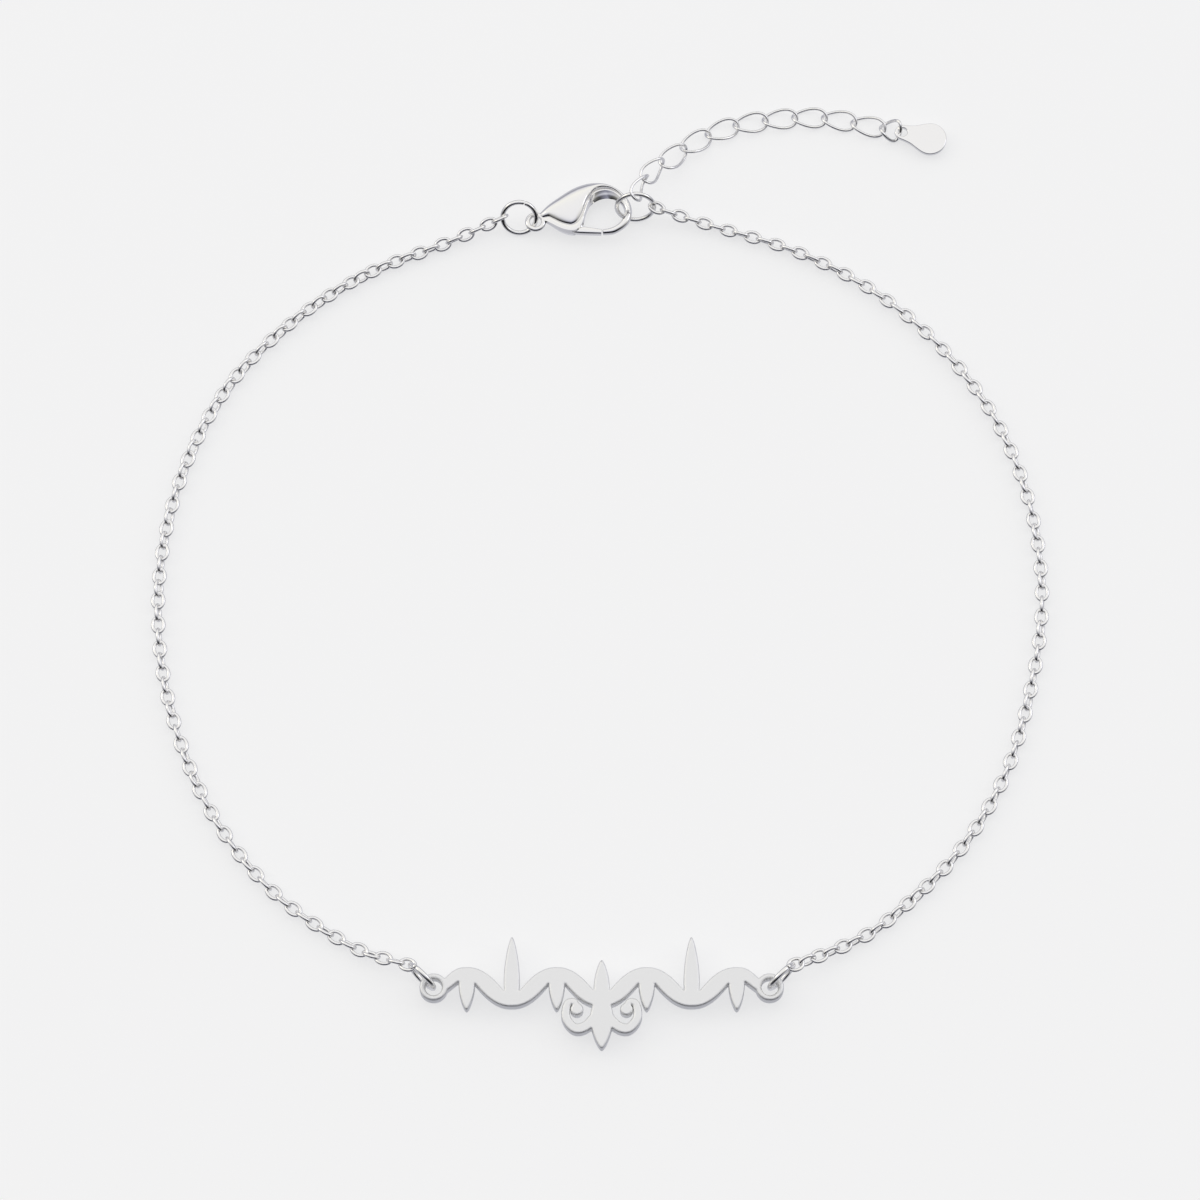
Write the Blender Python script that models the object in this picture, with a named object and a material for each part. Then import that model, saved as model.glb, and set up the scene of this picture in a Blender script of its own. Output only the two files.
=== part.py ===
# Silver name bracelet, lying in its round on a table: a pierced plate on two cable chains that a
# lobster clasp closes, with a short curb extender and a drop.
# Metres, +Z up. The table is z = 0, and the origin is under the middle of the bracelet.

import math

import bmesh
import bpy
from mathutils import Matrix, Vector

# Pierced plate: eye to eye length, the height of its waved stem and the reach of its leaves
PLATE_AT = (0.00012, -0.03255)
PLATE_LENGTH = 0.0238
PLATE_THICKNESS = 0.0010
EYE_OUTER = 0.0020
EYE_HOLE = 0.0012
STEM_HEIGHT = 0.0029
STEM_NARROW = 0.00075
STEM_WIDE = 0.00125
STEM_QUARTERS = 7
LEAF_UP = 0.0020
LEAF_TALL = 0.0037
LEAF_DOWN = 0.0017
LEAF_WIDTH = 0.00098
LEAF_BELLY = 0.8
LEAF_ROUNDING = 0.62
LEAF_FOOT = 0.42
DROP_REACH = 0.0045
DROP_WIDTH = 0.0014
CURL_WIDTH = 0.00072
CURL_BALL = 0.00092
STEM_BITE = 0.375

# Jump rings: outer diameter, wire, the turn or tilt each lies at and where its cut is
PLATE_RING_OUTER = 0.0027
PLATE_RING_WIRE = 0.00038
PLATE_RING_TURN = math.radians(44.0)
PLATE_RING_CUT = math.radians(62.0)
CLASP_RING_AT = (-0.00608, 0.0274)
CLASP_RING_OUTER = 0.0029
CLASP_RING_WIRE = 0.00036
CLASP_RING_TILT = math.radians(50.0)
CLASP_RING_EYE_ANGLE = math.radians(-17.0)
CLASP_RING_CUT = math.radians(72.0)
END_RING_OUTER = 0.00316
END_RING_WIRE = 0.00034
END_RING_TILT = math.radians(72.0)
END_RING_CUT = math.radians(20.0)
RING_CUT = 0.00006
RING_STEPS = 16
RING_SIDES = 6

# Cable chain: centre distance and outer width of its links, and where its middle runs
CABLE_WIRE = 0.00026
CABLE_PITCH = 0.00095
CABLE_WIDTH = 0.00108
CABLE_SINK = 0.00003
CABLE_STEPS = 10
CABLE_SIDES = 5
CABLE_RISE = 0.0060
LEFT_ROUTE = [
    (-0.01172, 0.02550), (-0.01756, 0.02300), (-0.02297, 0.01917), (-0.02758, 0.01403),
    (-0.03065, 0.00761), (-0.03218, 0.00056), (-0.03212, -0.00668), (-0.03049, -0.01368),
    (-0.02752, -0.02010), (-0.02317, -0.02547), (-0.01770, -0.02929),
]
RIGHT_ROUTE = [
    (0.00932, 0.02672), (0.01526, 0.02465), (0.02089, 0.02137), (0.02577, 0.01670),
    (0.02956, 0.01084), (0.03178, 0.00408), (0.03236, -0.00306), (0.03128, -0.01008),
    (0.02912, -0.01676), (0.02548, -0.02260), (0.02069, -0.02726), (0.01794, -0.02902),
]
TUBE_SPACING = 0.0028

# Lobster clasp: its turn on the table, the hook's stations and the gate
CLASP_TURN = math.radians(7.2)
CLASP_EYE_OUTER = 0.00158
CLASP_EYE_WIRE = 0.00038
HOOK_LENGTH = 0.0072
HOOK_THICKNESS = 0.00172
# Outer edge, rim and inner edge, each along and across, and the height at the crest, as
# shares of the hook's length and of its thickness
HOOK_STATIONS = [
    (0.075, 0.105, 0.092, -0.006, 0.095, -0.020, 0.330),
    (0.130, 0.152, 0.134, -0.030, 0.137, -0.045, 0.500),
    (0.190, 0.193, 0.181, -0.069, 0.185, -0.085, 0.650),
    (0.262, 0.234, 0.238, -0.115, 0.242, -0.132, 0.780),
    (0.340, 0.277, 0.295, -0.149, 0.300, -0.166, 0.880),
    (0.410, 0.312, 0.355, -0.170, 0.362, -0.188, 0.950),
    (0.465, 0.332, 0.407, -0.171, 0.420, -0.188, 1.000),
    (0.510, 0.345, 0.443, -0.149, 0.458, -0.160, 1.000),
    (0.548, 0.352, 0.477, -0.106, 0.491, -0.110, 1.000),
    (0.582, 0.356, 0.500, -0.055, 0.511, -0.054, 0.985),
    (0.614, 0.357, 0.519, 0.000, 0.530, 0.004, 0.960),
    (0.645, 0.356, 0.541, 0.051, 0.557, 0.058, 0.930),
    (0.676, 0.353, 0.567, 0.109, 0.590, 0.102, 0.890),
    (0.708, 0.347, 0.602, 0.166, 0.638, 0.139, 0.840),
    (0.748, 0.337, 0.649, 0.211, 0.688, 0.161, 0.780),
    (0.793, 0.320, 0.712, 0.226, 0.742, 0.170, 0.720),
    (0.850, 0.288, 0.781, 0.214, 0.795, 0.166, 0.650),
    (0.905, 0.245, 0.842, 0.182, 0.845, 0.146, 0.580),
    (0.955, 0.190, 0.896, 0.138, 0.889, 0.112, 0.520),
    (0.993, 0.130, 0.936, 0.088, 0.920, 0.072, 0.470),
    (1.014, 0.066, 0.958, 0.036, 0.935, 0.027, 0.440),
    (1.018, 0.000, 0.962, -0.014, 0.936, -0.018, 0.430),
    (1.006, -0.068, 0.950, -0.064, 0.922, -0.060, 0.430),
    (0.975, -0.134, 0.922, -0.112, 0.895, -0.100, 0.425),
    (0.928, -0.180, 0.884, -0.152, 0.858, -0.134, 0.420),
    (0.865, -0.217, 0.832, -0.186, 0.812, -0.160, 0.410),
    (0.790, -0.243, 0.770, -0.208, 0.756, -0.176, 0.400),
    (0.684, -0.240, 0.684, -0.211, 0.684, -0.182, 0.380),
]
# Half of a section from the outer edge over the crest to the rim: shares of way and height
HOOK_HALF_SECTION = [(0.12, 0.62), (0.40, 1.0), (0.84, 0.72), (1.0, 0.70)]
HOOK_BAR_SHARES = (0.977, -0.014)
GATE_SIDES = 8
GATE_WIDTH = 0.0006
GATE_THICKNESS = 0.00068
GATE_STATIONS = [
    (0.330, -0.147, 0.500, 0.912),
    (0.400, -0.155, 0.833, 1.000),
    (0.445, -0.161, 0.967, 1.000),
    (0.490, -0.168, 1.000, 1.000),
    (0.540, -0.179, 0.900, 0.985),
    (0.600, -0.193, 0.733, 0.971),
    (0.664, -0.209, 0.550, 0.971),
]
GATE_PIVOT_SHARES = (0.400, -0.132)
GATE_ROOT_OUTER = 0.00068
GATE_ROOT_THICKNESS = 0.00066
GATE_PIN = 0.00026
GATE_PIN_GAP = 0.00006
GATE_SLOT_GAP = 0.00008
GATE_OPENING = math.radians(26.0)
SLOT_REACH = 0.0018
SLOT_FLARE = math.radians(9.1)
GATE_PIN_LENGTH = 0.00101
END_RING_BAR_DROP = 0.00056
END_RING_BAR_INSET = 0.00054

# Curb extender: ten twisted links on a route, a twisted tag ring and the drop. The route's
# points are shares of the way from the end ring to the tag ring, along it and to its left
CURB_WIRE = 0.00022
CURB_WIDTH = 0.00170
CURB_LINKS = 10
CURB_SLACK = 0.00013
CURB_LIFT_GAP = 0.00004
CURB_STEPS = 12
CURB_SIDES = 5
CURB_ROUTE = [
    (0.094, 0.089), (0.203, 0.139), (0.310, 0.179), (0.422, 0.197),
    (0.530, 0.190), (0.638, 0.169), (0.743, 0.140), (0.847, 0.095),
    (0.945, 0.035),
]
CURB_FALL = 0.0095
CURB_FIRST_ROLL = math.radians(80.0)
CURB_ROLL_LENGTH = 0.0083
TAG_RING_AT = (0.02210, 0.03500)
TAG_RING_OUTER = 0.0018
TAG_RING_WIRE = 0.00025
TAG_RING_TWIST = 0.00045
TAG_TURN = math.radians(-15.0)
TAG_LENGTH = 0.0040
TAG_WIDTH = 0.0026
TAG_HOLE = 0.00078
TAG_HOLE_INSET = 0.00062
TAG_THICKNESS = 0.00034
# The drop's edge from its tip to its round end: shares of its length and of half its width
TAG_EDGE = [
    (0.03, 0.26), (0.10, 0.43), (0.22, 0.50), (0.35, 0.60), (0.48, 0.79), (0.60, 0.95),
    (0.71, 1.00), (0.82, 0.91), (0.92, 0.68), (0.98, 0.36),
]

# Running clearances
LINK_GAP = 0.00009
SEAT_GAP = 0.00006
TUBE_GAP = 0.0003
CUTTER_MARGIN = 0.0002

# Finishes: colour and roughness of polished and of satin silver
BRIGHT = (0.90, 0.89, 0.87)
SATIN = (0.74, 0.74, 0.74)
POLISH = 0.1
SATIN_ROUGHNESS = 0.3
EDGE_ANGLE = math.radians(50.0)

UP = Vector((0.0, 0.0, 1.0))


def silver(name, colour, roughness):
    """A polished or satin silver of its own for each sub-part."""
    material = bpy.data.materials.new(name)
    material.use_nodes = True
    shader = material.node_tree.nodes["Principled BSDF"]
    shader.inputs["Base Color"].default_value = (*colour, 1.0)
    shader.inputs["Metallic"].default_value = 1.0
    shader.inputs["Roughness"].default_value = roughness
    return material


def finish(bm, name, colour, roughness, matrix=None):
    """Turn a bmesh into a named object with its material, smooth on its round faces."""
    bmesh.ops.recalc_face_normals(bm, faces=bm.faces)
    mesh = bpy.data.meshes.new(name)
    bm.to_mesh(mesh)
    bm.free()
    mesh.shade_smooth()
    mesh.set_sharp_from_angle(angle=EDGE_ANGLE)
    mesh.materials.append(silver(name, colour, roughness))
    piece = bpy.data.objects.new(name, mesh)
    bpy.context.scene.collection.objects.link(piece)
    if matrix is not None:
        piece.matrix_world = matrix
    return piece


def combine(body, tool, operation):
    """Union or cut two solids, keep the result on the first and remove the second."""
    modifier = body.modifiers.new("Combine", "BOOLEAN")
    modifier.operation = operation
    modifier.solver = "EXACT"
    modifier.object = tool
    bpy.context.view_layer.update()
    depsgraph = bpy.context.evaluated_depsgraph_get()
    solid = bpy.data.meshes.new_from_object(body.evaluated_get(depsgraph))
    body.modifiers.clear()
    spare = body.data
    body.data = solid
    bpy.data.meshes.remove(spare)
    bpy.data.objects.remove(tool)


# Wires and other swept solids

def section(width, thickness, sides):
    """An ellipse around the path, one vertex outward, so a five-sided wire is flat inside."""
    corners = []
    for index in range(sides):
        angle = 2.0 * math.pi * index / sides
        corners.append((0.5 * width * math.cos(angle), 0.5 * thickness * math.sin(angle)))
    return corners


def sweep(bm, points, sections, closed):
    """A skin round a path: each section's first axis lies right of the path, seen from above."""
    rings = []
    count = len(points)
    for index, point in enumerate(points):
        ahead = points[(index + 1) % count] if closed or index < count - 1 else point
        behind = points[index - 1] if closed or index > 0 else point
        tangent = (ahead - behind).normalized()
        side = tangent.cross(UP).normalized()
        lift = side.cross(tangent)
        rings.append([bm.verts.new(point + a * side + b * lift) for a, b in sections[index]])
    last = count if closed else count - 1
    for index in range(last):
        ring, following = rings[index], rings[(index + 1) % count]
        for corner in range(len(ring)):
            nearby = (corner + 1) % len(ring)
            bm.faces.new((ring[corner], ring[nearby], following[nearby], following[corner]))
    if not closed:
        bm.faces.new(rings[0])
        bm.faces.new(rings[-1][::-1])


def jump_ring(name, matrix, outer, wire, cut_angle, roughness):
    """A bent wire whose two ends meet at a fine cut, in the local XY plane."""
    bm = bmesh.new()
    radius = 0.5 * (outer - wire)
    cut = RING_CUT / radius
    points = []
    for step in range(RING_STEPS + 1):
        angle = cut_angle + 0.5 * cut + (2.0 * math.pi - cut) * step / RING_STEPS
        points.append(Vector((radius * math.cos(angle), radius * math.sin(angle), 0.0)))
    sections = [section(wire, wire, RING_SIDES)] * len(points)
    sweep(bm, points, sections, False)
    return finish(bm, name, BRIGHT, roughness, matrix)


def oval_link(bm, matrix, half_length, half_width, twist, wire, steps, sides):
    """One closed link: an oval wire, twisted for a curb link, flat for a cable link."""
    points = []
    for step in range(steps):
        angle = 2.0 * math.pi * step / steps
        points.append(Vector((
            half_length * math.cos(angle),
            half_width * math.sin(angle),
            twist * math.sin(2.0 * angle),
        )))
    before = set(bm.verts)
    sweep(bm, points, [section(wire, wire, sides)] * steps, True)
    bmesh.ops.transform(bm, matrix=matrix, verts=[vert for vert in bm.verts if vert not in before])


# Flat shapes cut from sheet

def smooth_rows(rows, steps):
    """Rows of equal length read from a smooth curve through the chosen ones."""
    result = []
    ends = [[2.0 * a - b for a, b in zip(rows[0], rows[1])]]
    tail = [[2.0 * a - b for a, b in zip(rows[-1], rows[-2])]]
    padded = ends + [list(row) for row in rows] + tail
    for index in range(1, len(padded) - 2):
        p0, p1, p2, p3 = padded[index - 1:index + 3]
        for step in range(steps):
            t = step / steps
            result.append([
                0.5 * (2.0 * b + (c - a) * t + (2.0 * a - 5.0 * b + 4.0 * c - d) * t ** 2
                       + (3.0 * b - 3.0 * c + d - a) * t ** 3)
                for a, b, c, d in zip(p0, p1, p2, p3)
            ])
    result.append(list(rows[-1]))
    return result


def ribbon_outline(rows):
    """The outline of a stroke from its middle line: rows of x, y and width."""
    left, right = [], []
    for index, (x, y, width) in enumerate(rows):
        ahead = rows[min(index + 1, len(rows) - 1)]
        behind = rows[max(index - 1, 0)]
        direction = Vector((ahead[0] - behind[0], ahead[1] - behind[1])).normalized()
        normal = Vector((-direction.y, direction.x))
        centre = Vector((x, y))
        if width < 1e-7:
            left.append(centre)
            continue
        left.append(centre + 0.5 * width * normal)
        right.append(centre - 0.5 * width * normal)
    return left + right[::-1]


def disc_outline(x, y, diameter, steps):
    radius = 0.5 * diameter
    turns = [2.0 * math.pi * step / steps for step in range(steps)]
    return [Vector((x + radius * math.cos(turn), y + radius * math.sin(turn))) for turn in turns]


def plate_solid(name, outline, bottom, top, colour=SATIN, roughness=SATIN_ROUGHNESS):
    """A flat outline given a thickness."""
    bm = bmesh.new()
    lower = [bm.verts.new((point.x, point.y, bottom)) for point in outline]
    upper = [bm.verts.new((point.x, point.y, top)) for point in outline]
    bm.faces.new(lower[::-1])
    bm.faces.new(upper)
    for index in range(len(outline)):
        nearby = (index + 1) % len(outline)
        bm.faces.new((lower[index], lower[nearby], upper[nearby], upper[index]))
    return finish(bm, name, colour, roughness)


# Pierced plate

def stem_rows(half, quarter, steps):
    """The waved stem: broad where it climbs, narrow where it turns, between the two eyes."""
    rise = 0.5 * (STEM_HEIGHT - STEM_NARROW)
    rows = []
    for step in range(steps + 1):
        x = half * (2.0 * step / steps - 1.0)
        phase = 0.5 * math.pi * x / quarter
        width = STEM_NARROW + (STEM_WIDE - STEM_NARROW) * abs(math.sin(phase)) ** 1.5
        rows.append((x, -rise * math.cos(phase), width))
    return rows


def leaf_rows(x, foot, tip, width, steps=8):
    """An upright leaf that swells above its foot and ends in a small round tip."""
    rows = []
    for step in range(steps + 1):
        share = math.sin(0.5 * math.pi * step / steps)
        body = abs(math.sin(math.pi * share ** LEAF_BELLY)) ** LEAF_ROUNDING
        swell = body + LEAF_FOOT * (1.0 - share) ** 2
        breadth = width * swell if step < steps else 0.0
        rows.append((x, foot + (tip - foot) * share, breadth))
    return rows


def curl_rows(sign, quarter, foot):
    """A tendril that leaves the foot of the middle leaf and rolls up beside it."""
    chosen = [
        (0.05, 0.00, 0.75), (0.30, -0.30, 0.95), (0.72, -0.52, 1.05), (1.20, -0.56, 1.00),
        (1.58, -0.34, 0.90), (1.52, -0.04, 0.75), (1.20, 0.00, 0.62), (1.10, -0.16, 0.45),
    ]
    fall = DROP_REACH + foot
    return [
        (sign * x * quarter, foot + y * fall, width * CURL_WIDTH)
        for x, y, width in smooth_rows(chosen, 3)
    ]


def name_plate(lift):
    """Eyes, stem, leaves and curls, joined flat and pierced: one sheet of metal."""
    eye = 0.5 * PLATE_LENGTH
    half = eye - STEM_BITE * EYE_OUTER
    quarter = half / STEM_QUARTERS
    rise = 0.5 * (STEM_HEIGHT - STEM_NARROW)
    bottom, top = lift, lift + PLATE_THICKNESS

    strokes = [disc_outline(sign * eye, 0.0, EYE_OUTER, 24) for sign in (-1, 1)]
    for sign in (-1, 1):
        strokes.append(ribbon_outline(leaf_rows(sign * 2 * quarter, rise, -LEAF_DOWN, LEAF_WIDTH)))
        strokes.append(ribbon_outline(leaf_rows(sign * 4 * quarter, -rise, LEAF_TALL, LEAF_WIDTH)))
        strokes.append(ribbon_outline(leaf_rows(sign * 6 * quarter, rise, -LEAF_DOWN, LEAF_WIDTH)))
        curl = curl_rows(sign, quarter, -rise)
        strokes.append(ribbon_outline(curl))
        strokes.append(disc_outline(curl[-1][0], curl[-1][1], CURL_BALL, 12))
    strokes.append(ribbon_outline(leaf_rows(0.0, -rise, LEAF_UP, LEAF_WIDTH)))
    strokes.append(ribbon_outline(leaf_rows(0.0, -rise, -DROP_REACH, DROP_WIDTH)))

    # Each stroke is cut a little taller than the last, so that no two share a face, and the
    # sheet is brought to its thickness afterwards
    stem = ribbon_outline(stem_rows(half, quarter, 12 * STEM_QUARTERS))
    plate = plate_solid("name_plate", stem, bottom - CUTTER_MARGIN, top + CUTTER_MARGIN)
    for index, stroke in enumerate(strokes):
        margin = CUTTER_MARGIN * (1.1 + 0.1 * index)
        combine(plate, plate_solid("stroke", stroke, bottom - margin, top + margin), "UNION")
    reach = eye + EYE_OUTER
    sheet = [Vector((x * reach, y * reach)) for x, y in ((-1, -1), (1, -1), (1, 1), (-1, 1))]
    combine(plate, plate_solid("sheet", sheet, bottom, top), "INTERSECT")
    for sign in (-1, 1):
        hole = disc_outline(sign * eye, 0.0, EYE_HOLE, 20)
        cutter = plate_solid("hole", hole, bottom - CUTTER_MARGIN, top + CUTTER_MARGIN)
        combine(plate, cutter, "DIFFERENCE")
    plate.location = (PLATE_AT[0], PLATE_AT[1], 0.0)
    return plate


# Routes

def route_points(chosen, steps):
    return [Vector((x, y)) for x, y in smooth_rows(chosen, steps)]


def running_lengths(points):
    lengths = [0.0]
    for first, second in zip(points, points[1:]):
        lengths.append(lengths[-1] + (second - first).length)
    return lengths


class Route:
    """A smooth level curve through chosen points, read by its length, with raised ends."""

    def __init__(self, chosen, height, start_height, end_height, rise):
        level_points = route_points(chosen, 12)
        gone = running_lengths(level_points)
        self.points = []
        for point, distance in zip(level_points, gone):
            lifted = height
            for end, away in ((start_height, distance), (end_height, gone[-1] - distance)):
                share = min(away / rise, 1.0)
                lifted += (end - height) * (1.0 - share) ** 2
            self.points.append(Vector((point.x, point.y, lifted)))
        self.lengths = running_lengths(self.points)
        self.total = self.lengths[-1]
        self.rise = rise

    def at(self, distance):
        index = 1
        while index < len(self.points) - 1 and self.lengths[index] < distance:
            index += 1
        first, second = self.points[index - 1], self.points[index]
        span = self.lengths[index] - self.lengths[index - 1]
        return first + (second - first) * ((distance - self.lengths[index - 1]) / span)

    def direction(self, distance, reach):
        return (self.at(distance + reach) - self.at(distance - reach)).normalized()


def link_matrix(spot, direction, roll):
    """Place a link along a direction, flat at no roll and on edge at a quarter turn."""
    across = UP.cross(direction).normalized()
    lift = direction.cross(across)
    side = math.cos(roll) * across + math.sin(roll) * lift
    normal = direction.cross(side)
    matrix = Matrix.Identity(4)
    for row in range(3):
        matrix[row][0] = direction[row]
        matrix[row][1] = side[row]
        matrix[row][2] = normal[row]
        matrix[row][3] = spot[row]
    return matrix


# Cable chains

def cable_spacing(route, start_wire, end_wire, odd):
    """How many links fill a route, their centre distance and the length of each."""
    touch = CABLE_WIRE * math.cos(math.pi / CABLE_SIDES) - CABLE_SINK
    start_reach = 0.5 * (start_wire + CABLE_WIRE) + LINK_GAP
    end_reach = 0.5 * (end_wire + CABLE_WIRE) + LINK_GAP
    span = route.total - touch + start_reach + end_reach
    count = round(span / CABLE_PITCH)
    if count % 2 != odd:
        count += 1
    pitch = span / count
    half_length = 0.5 * (pitch + touch)
    return count, pitch, half_length, half_length - start_reach


def cable_chain(name, route, start_wire, end_wire, odd, end_twist):
    """Real links on a route: every second one on edge, fused where they bear on each other."""
    count, pitch, half_length, first = cable_spacing(route, start_wire, end_wire, odd)
    half_width = 0.5 * (CABLE_WIDTH - CABLE_WIRE)
    halves = [bmesh.new(), bmesh.new()]
    for index in range(count):
        distance = first + index * pitch
        share = max(0.0, 1.0 - (route.total - distance) / (2.0 * route.rise))
        roll = 0.5 * math.pi * (index % 2) + end_twist * share
        place = link_matrix(route.at(distance), route.direction(distance, 0.5 * pitch), roll)
        oval_link(halves[index % 2], place, half_length, half_width, 0.0, CABLE_WIRE,
                  CABLE_STEPS, CABLE_SIDES)
    chain = finish(halves[0], name, BRIGHT, POLISH)
    combine(chain, finish(halves[1], "edge_links", BRIGHT, POLISH), "UNION")
    return chain


def chain_tube(name, route):
    """The same chain's outer size as a plain tube from ring to ring."""
    count = round(route.total / TUBE_SPACING)
    start, end = TUBE_GAP, route.total - TUBE_GAP
    curve = bpy.data.curves.new(name, "CURVE")
    curve.dimensions = "3D"
    curve.bevel_depth = 0.5 * CABLE_WIDTH
    curve.bevel_resolution = 2
    curve.use_fill_caps = True
    spline = curve.splines.new("POLY")
    spline.points.add(count)
    for index, point in enumerate(spline.points):
        spot = route.at(start + (end - start) * index / count)
        point.co = (spot.x, spot.y, spot.z, 1.0)
    curve.materials.append(silver(name, BRIGHT, POLISH))
    tube = bpy.data.objects.new(name, curve)
    bpy.context.scene.collection.objects.link(tube)
    return tube


# Lobster clasp

def clasp_point(share_along, share_across):
    return Vector((share_along * HOOK_LENGTH, share_across * HOOK_LENGTH, 0.0))


def gate_strip(bm):
    rows = smooth_rows(GATE_STATIONS, 2)
    points = [clasp_point(along, across) for along, across, _, _ in rows]
    sections = [
        section(wide * GATE_WIDTH, thick * GATE_THICKNESS, GATE_SIDES) for _, _, wide, thick in rows
    ]
    sweep(bm, points, sections, False)


def hook_section(row):
    """One section of the casting: outer edge, crest, rim, inner edge and the same below."""
    outer, rim, inner = clasp_point(*row[0:2]), clasp_point(*row[2:4]), clasp_point(*row[4:6])
    height = 0.5 * HOOK_THICKNESS * row[6]
    upper = [
        outer.lerp(rim, way) + height * share * UP for way, share in HOOK_HALF_SECTION
    ]
    lower = [Vector((point.x, point.y, -point.z)) for point in upper]
    return [outer] + upper + [inner] + lower[::-1]


def hook_skin(bm):
    rings = [[bm.verts.new(point) for point in hook_section(row)] for row in HOOK_STATIONS]
    for ring, following in zip(rings, rings[1:]):
        for corner in range(len(ring)):
            nearby = (corner + 1) % len(ring)
            bm.faces.new((ring[corner], ring[nearby], following[nearby], following[corner]))
    bm.faces.new(rings[0])
    bm.faces.new(rings[-1][::-1])


def round_solid(name, centre, diameter, thickness, steps=16):
    outline = disc_outline(centre.x, centre.y, diameter, steps)
    return plate_solid(name, outline, -0.5 * thickness, 0.5 * thickness)


def clasp_eye():
    bm = bmesh.new()
    radius = 0.5 * (CLASP_EYE_OUTER - CLASP_EYE_WIRE)
    oval_link(bm, Matrix.Identity(4), radius, radius, 0.0, CLASP_EYE_WIRE, RING_STEPS, 8)
    return finish(bm, "clasp_eye", BRIGHT, POLISH)


def gate_slot(pivot):
    """The room that the gate's root needs between the cheeks, closed and open."""
    slot = GATE_ROOT_THICKNESS + 2.0 * GATE_SLOT_GAP
    reach = SLOT_REACH
    floor = pivot.y - reach
    tangent = 0.5 * GATE_ROOT_OUTER + GATE_SLOT_GAP
    far = pivot.x + reach
    opened = pivot.y + tangent + reach * math.tan(SLOT_FLARE)
    outline = [
        Vector((pivot.x - 0.5 * reach, floor)), Vector((far, floor)), Vector((far, opened)),
        Vector((pivot.x, pivot.y + tangent)),
        Vector((pivot.x - 0.5 * reach, pivot.y + 0.5 * tangent)),
    ]
    cutter = plate_solid("slot", outline, -0.5 * slot, 0.5 * slot)
    root = round_solid("slot_root", pivot, GATE_ROOT_OUTER + 2.0 * GATE_SLOT_GAP, slot, 20)
    combine(cutter, root, "UNION")
    return cutter


def clasp_body(matrix):
    """Eye, teardrop, hook and the pin of the gate, as one casting."""
    pivot = clasp_point(*GATE_PIVOT_SHARES)
    bm = bmesh.new()
    hook_skin(bm)
    body = finish(bm, "clasp_body", BRIGHT, POLISH)
    combine(body, gate_slot(pivot), "DIFFERENCE")
    combine(body, round_solid("pin", pivot, GATE_PIN, GATE_PIN_LENGTH, 10), "UNION")
    combine(body, clasp_eye(), "UNION")
    body.matrix_world = matrix
    return body


def clasp_lever(matrix):
    """The gate: a bent strip with a bored root, its origin on the pivot."""
    pivot = clasp_point(*GATE_PIVOT_SHARES)
    bm = bmesh.new()
    gate_strip(bm)
    lever = finish(bm, "clasp_lever", BRIGHT, POLISH)
    root = round_solid("root", pivot, GATE_ROOT_OUTER, GATE_ROOT_THICKNESS)
    combine(lever, root, "UNION")
    bore = GATE_PIN + 2.0 * GATE_PIN_GAP
    cutter = round_solid("bore", pivot, bore, GATE_ROOT_THICKNESS + CUTTER_MARGIN, 12)
    combine(lever, cutter, "DIFFERENCE")
    lever.data.transform(Matrix.Translation(-pivot))
    lever.matrix_world = matrix @ Matrix.Translation(pivot)
    return lever


# Curb extender

def curb_extender(start, start_wire, end, end_wire):
    """The links from the end ring's upper side to the tag ring's near side."""
    twist = CURB_WIRE + CURB_LIFT_GAP
    lying = 0.5 * CURB_WIRE + twist
    along = (end - start).xy
    aside = Vector((-along.y, along.x))
    between = [tuple(start.xy + on * along + off * aside) for on, off in CURB_ROUTE]
    chosen = [(start.x, start.y)] + between + [(end.x, end.y)]
    route = Route(chosen, lying, start.z, lying, CURB_FALL)
    start_reach = 0.5 * (start_wire + CURB_WIRE) + CURB_SLACK
    end_reach = 0.5 * (end_wire + CURB_WIRE) + CURB_SLACK
    touch = CURB_WIRE + CURB_SLACK
    pitch = (route.total - touch + start_reach + end_reach) / CURB_LINKS
    half_length = 0.5 * (pitch + touch)
    half_width = 0.5 * (CURB_WIDTH - CURB_WIRE)
    for index in range(CURB_LINKS):
        distance = half_length - start_reach + index * pitch
        roll = CURB_FIRST_ROLL * max(0.0, 1.0 - distance / CURB_ROLL_LENGTH)
        place = link_matrix(route.at(distance), route.direction(distance, 0.4 * pitch), roll)
        bm = bmesh.new()
        oval_link(bm, Matrix.Identity(4), half_length, half_width, twist, CURB_WIRE,
                  CURB_STEPS, CURB_SIDES)
        finish(bm, f"extender_link_{index + 1:02d}", BRIGHT, POLISH, place)


def tag_frame():
    """The tag ring and the drop share one level frame, turned with the drop."""
    height = 0.5 * TAG_RING_WIRE + TAG_RING_TWIST
    place = Matrix.Translation((TAG_RING_AT[0], TAG_RING_AT[1], height))
    return place @ Matrix.Rotation(TAG_TURN, 4, "Z")


def tag_outline(hole_x):
    """A drop: a small tip round the hole, hollow shoulders and a round end."""
    tip = hole_x - TAG_HOLE_INSET
    upper = [
        Vector((tip + along * TAG_LENGTH, 0.5 * across * TAG_WIDTH)) for along, across in TAG_EDGE
    ]
    lower = [Vector((point.x, -point.y)) for point in upper[::-1]]
    return [Vector((tip, 0.0))] + lower[::-1] + [Vector((tip + TAG_LENGTH, 0.0))] + upper[::-1]


def extender_tag(matrix):
    """The drop, its hole round the far side of the tag ring."""
    hole_x = 0.5 * (TAG_RING_OUTER - TAG_RING_WIRE)
    half = 0.5 * TAG_THICKNESS
    tag = plate_solid("extender_tag", tag_outline(hole_x), -half, half, BRIGHT, POLISH)
    hole = disc_outline(hole_x, 0.0, TAG_HOLE, 12)
    combine(tag, plate_solid("hole", hole, -half - CUTTER_MARGIN, half + CUTTER_MARGIN), "DIFFERENCE")
    tag.matrix_world = matrix
    return tag


# Bracelet

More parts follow.
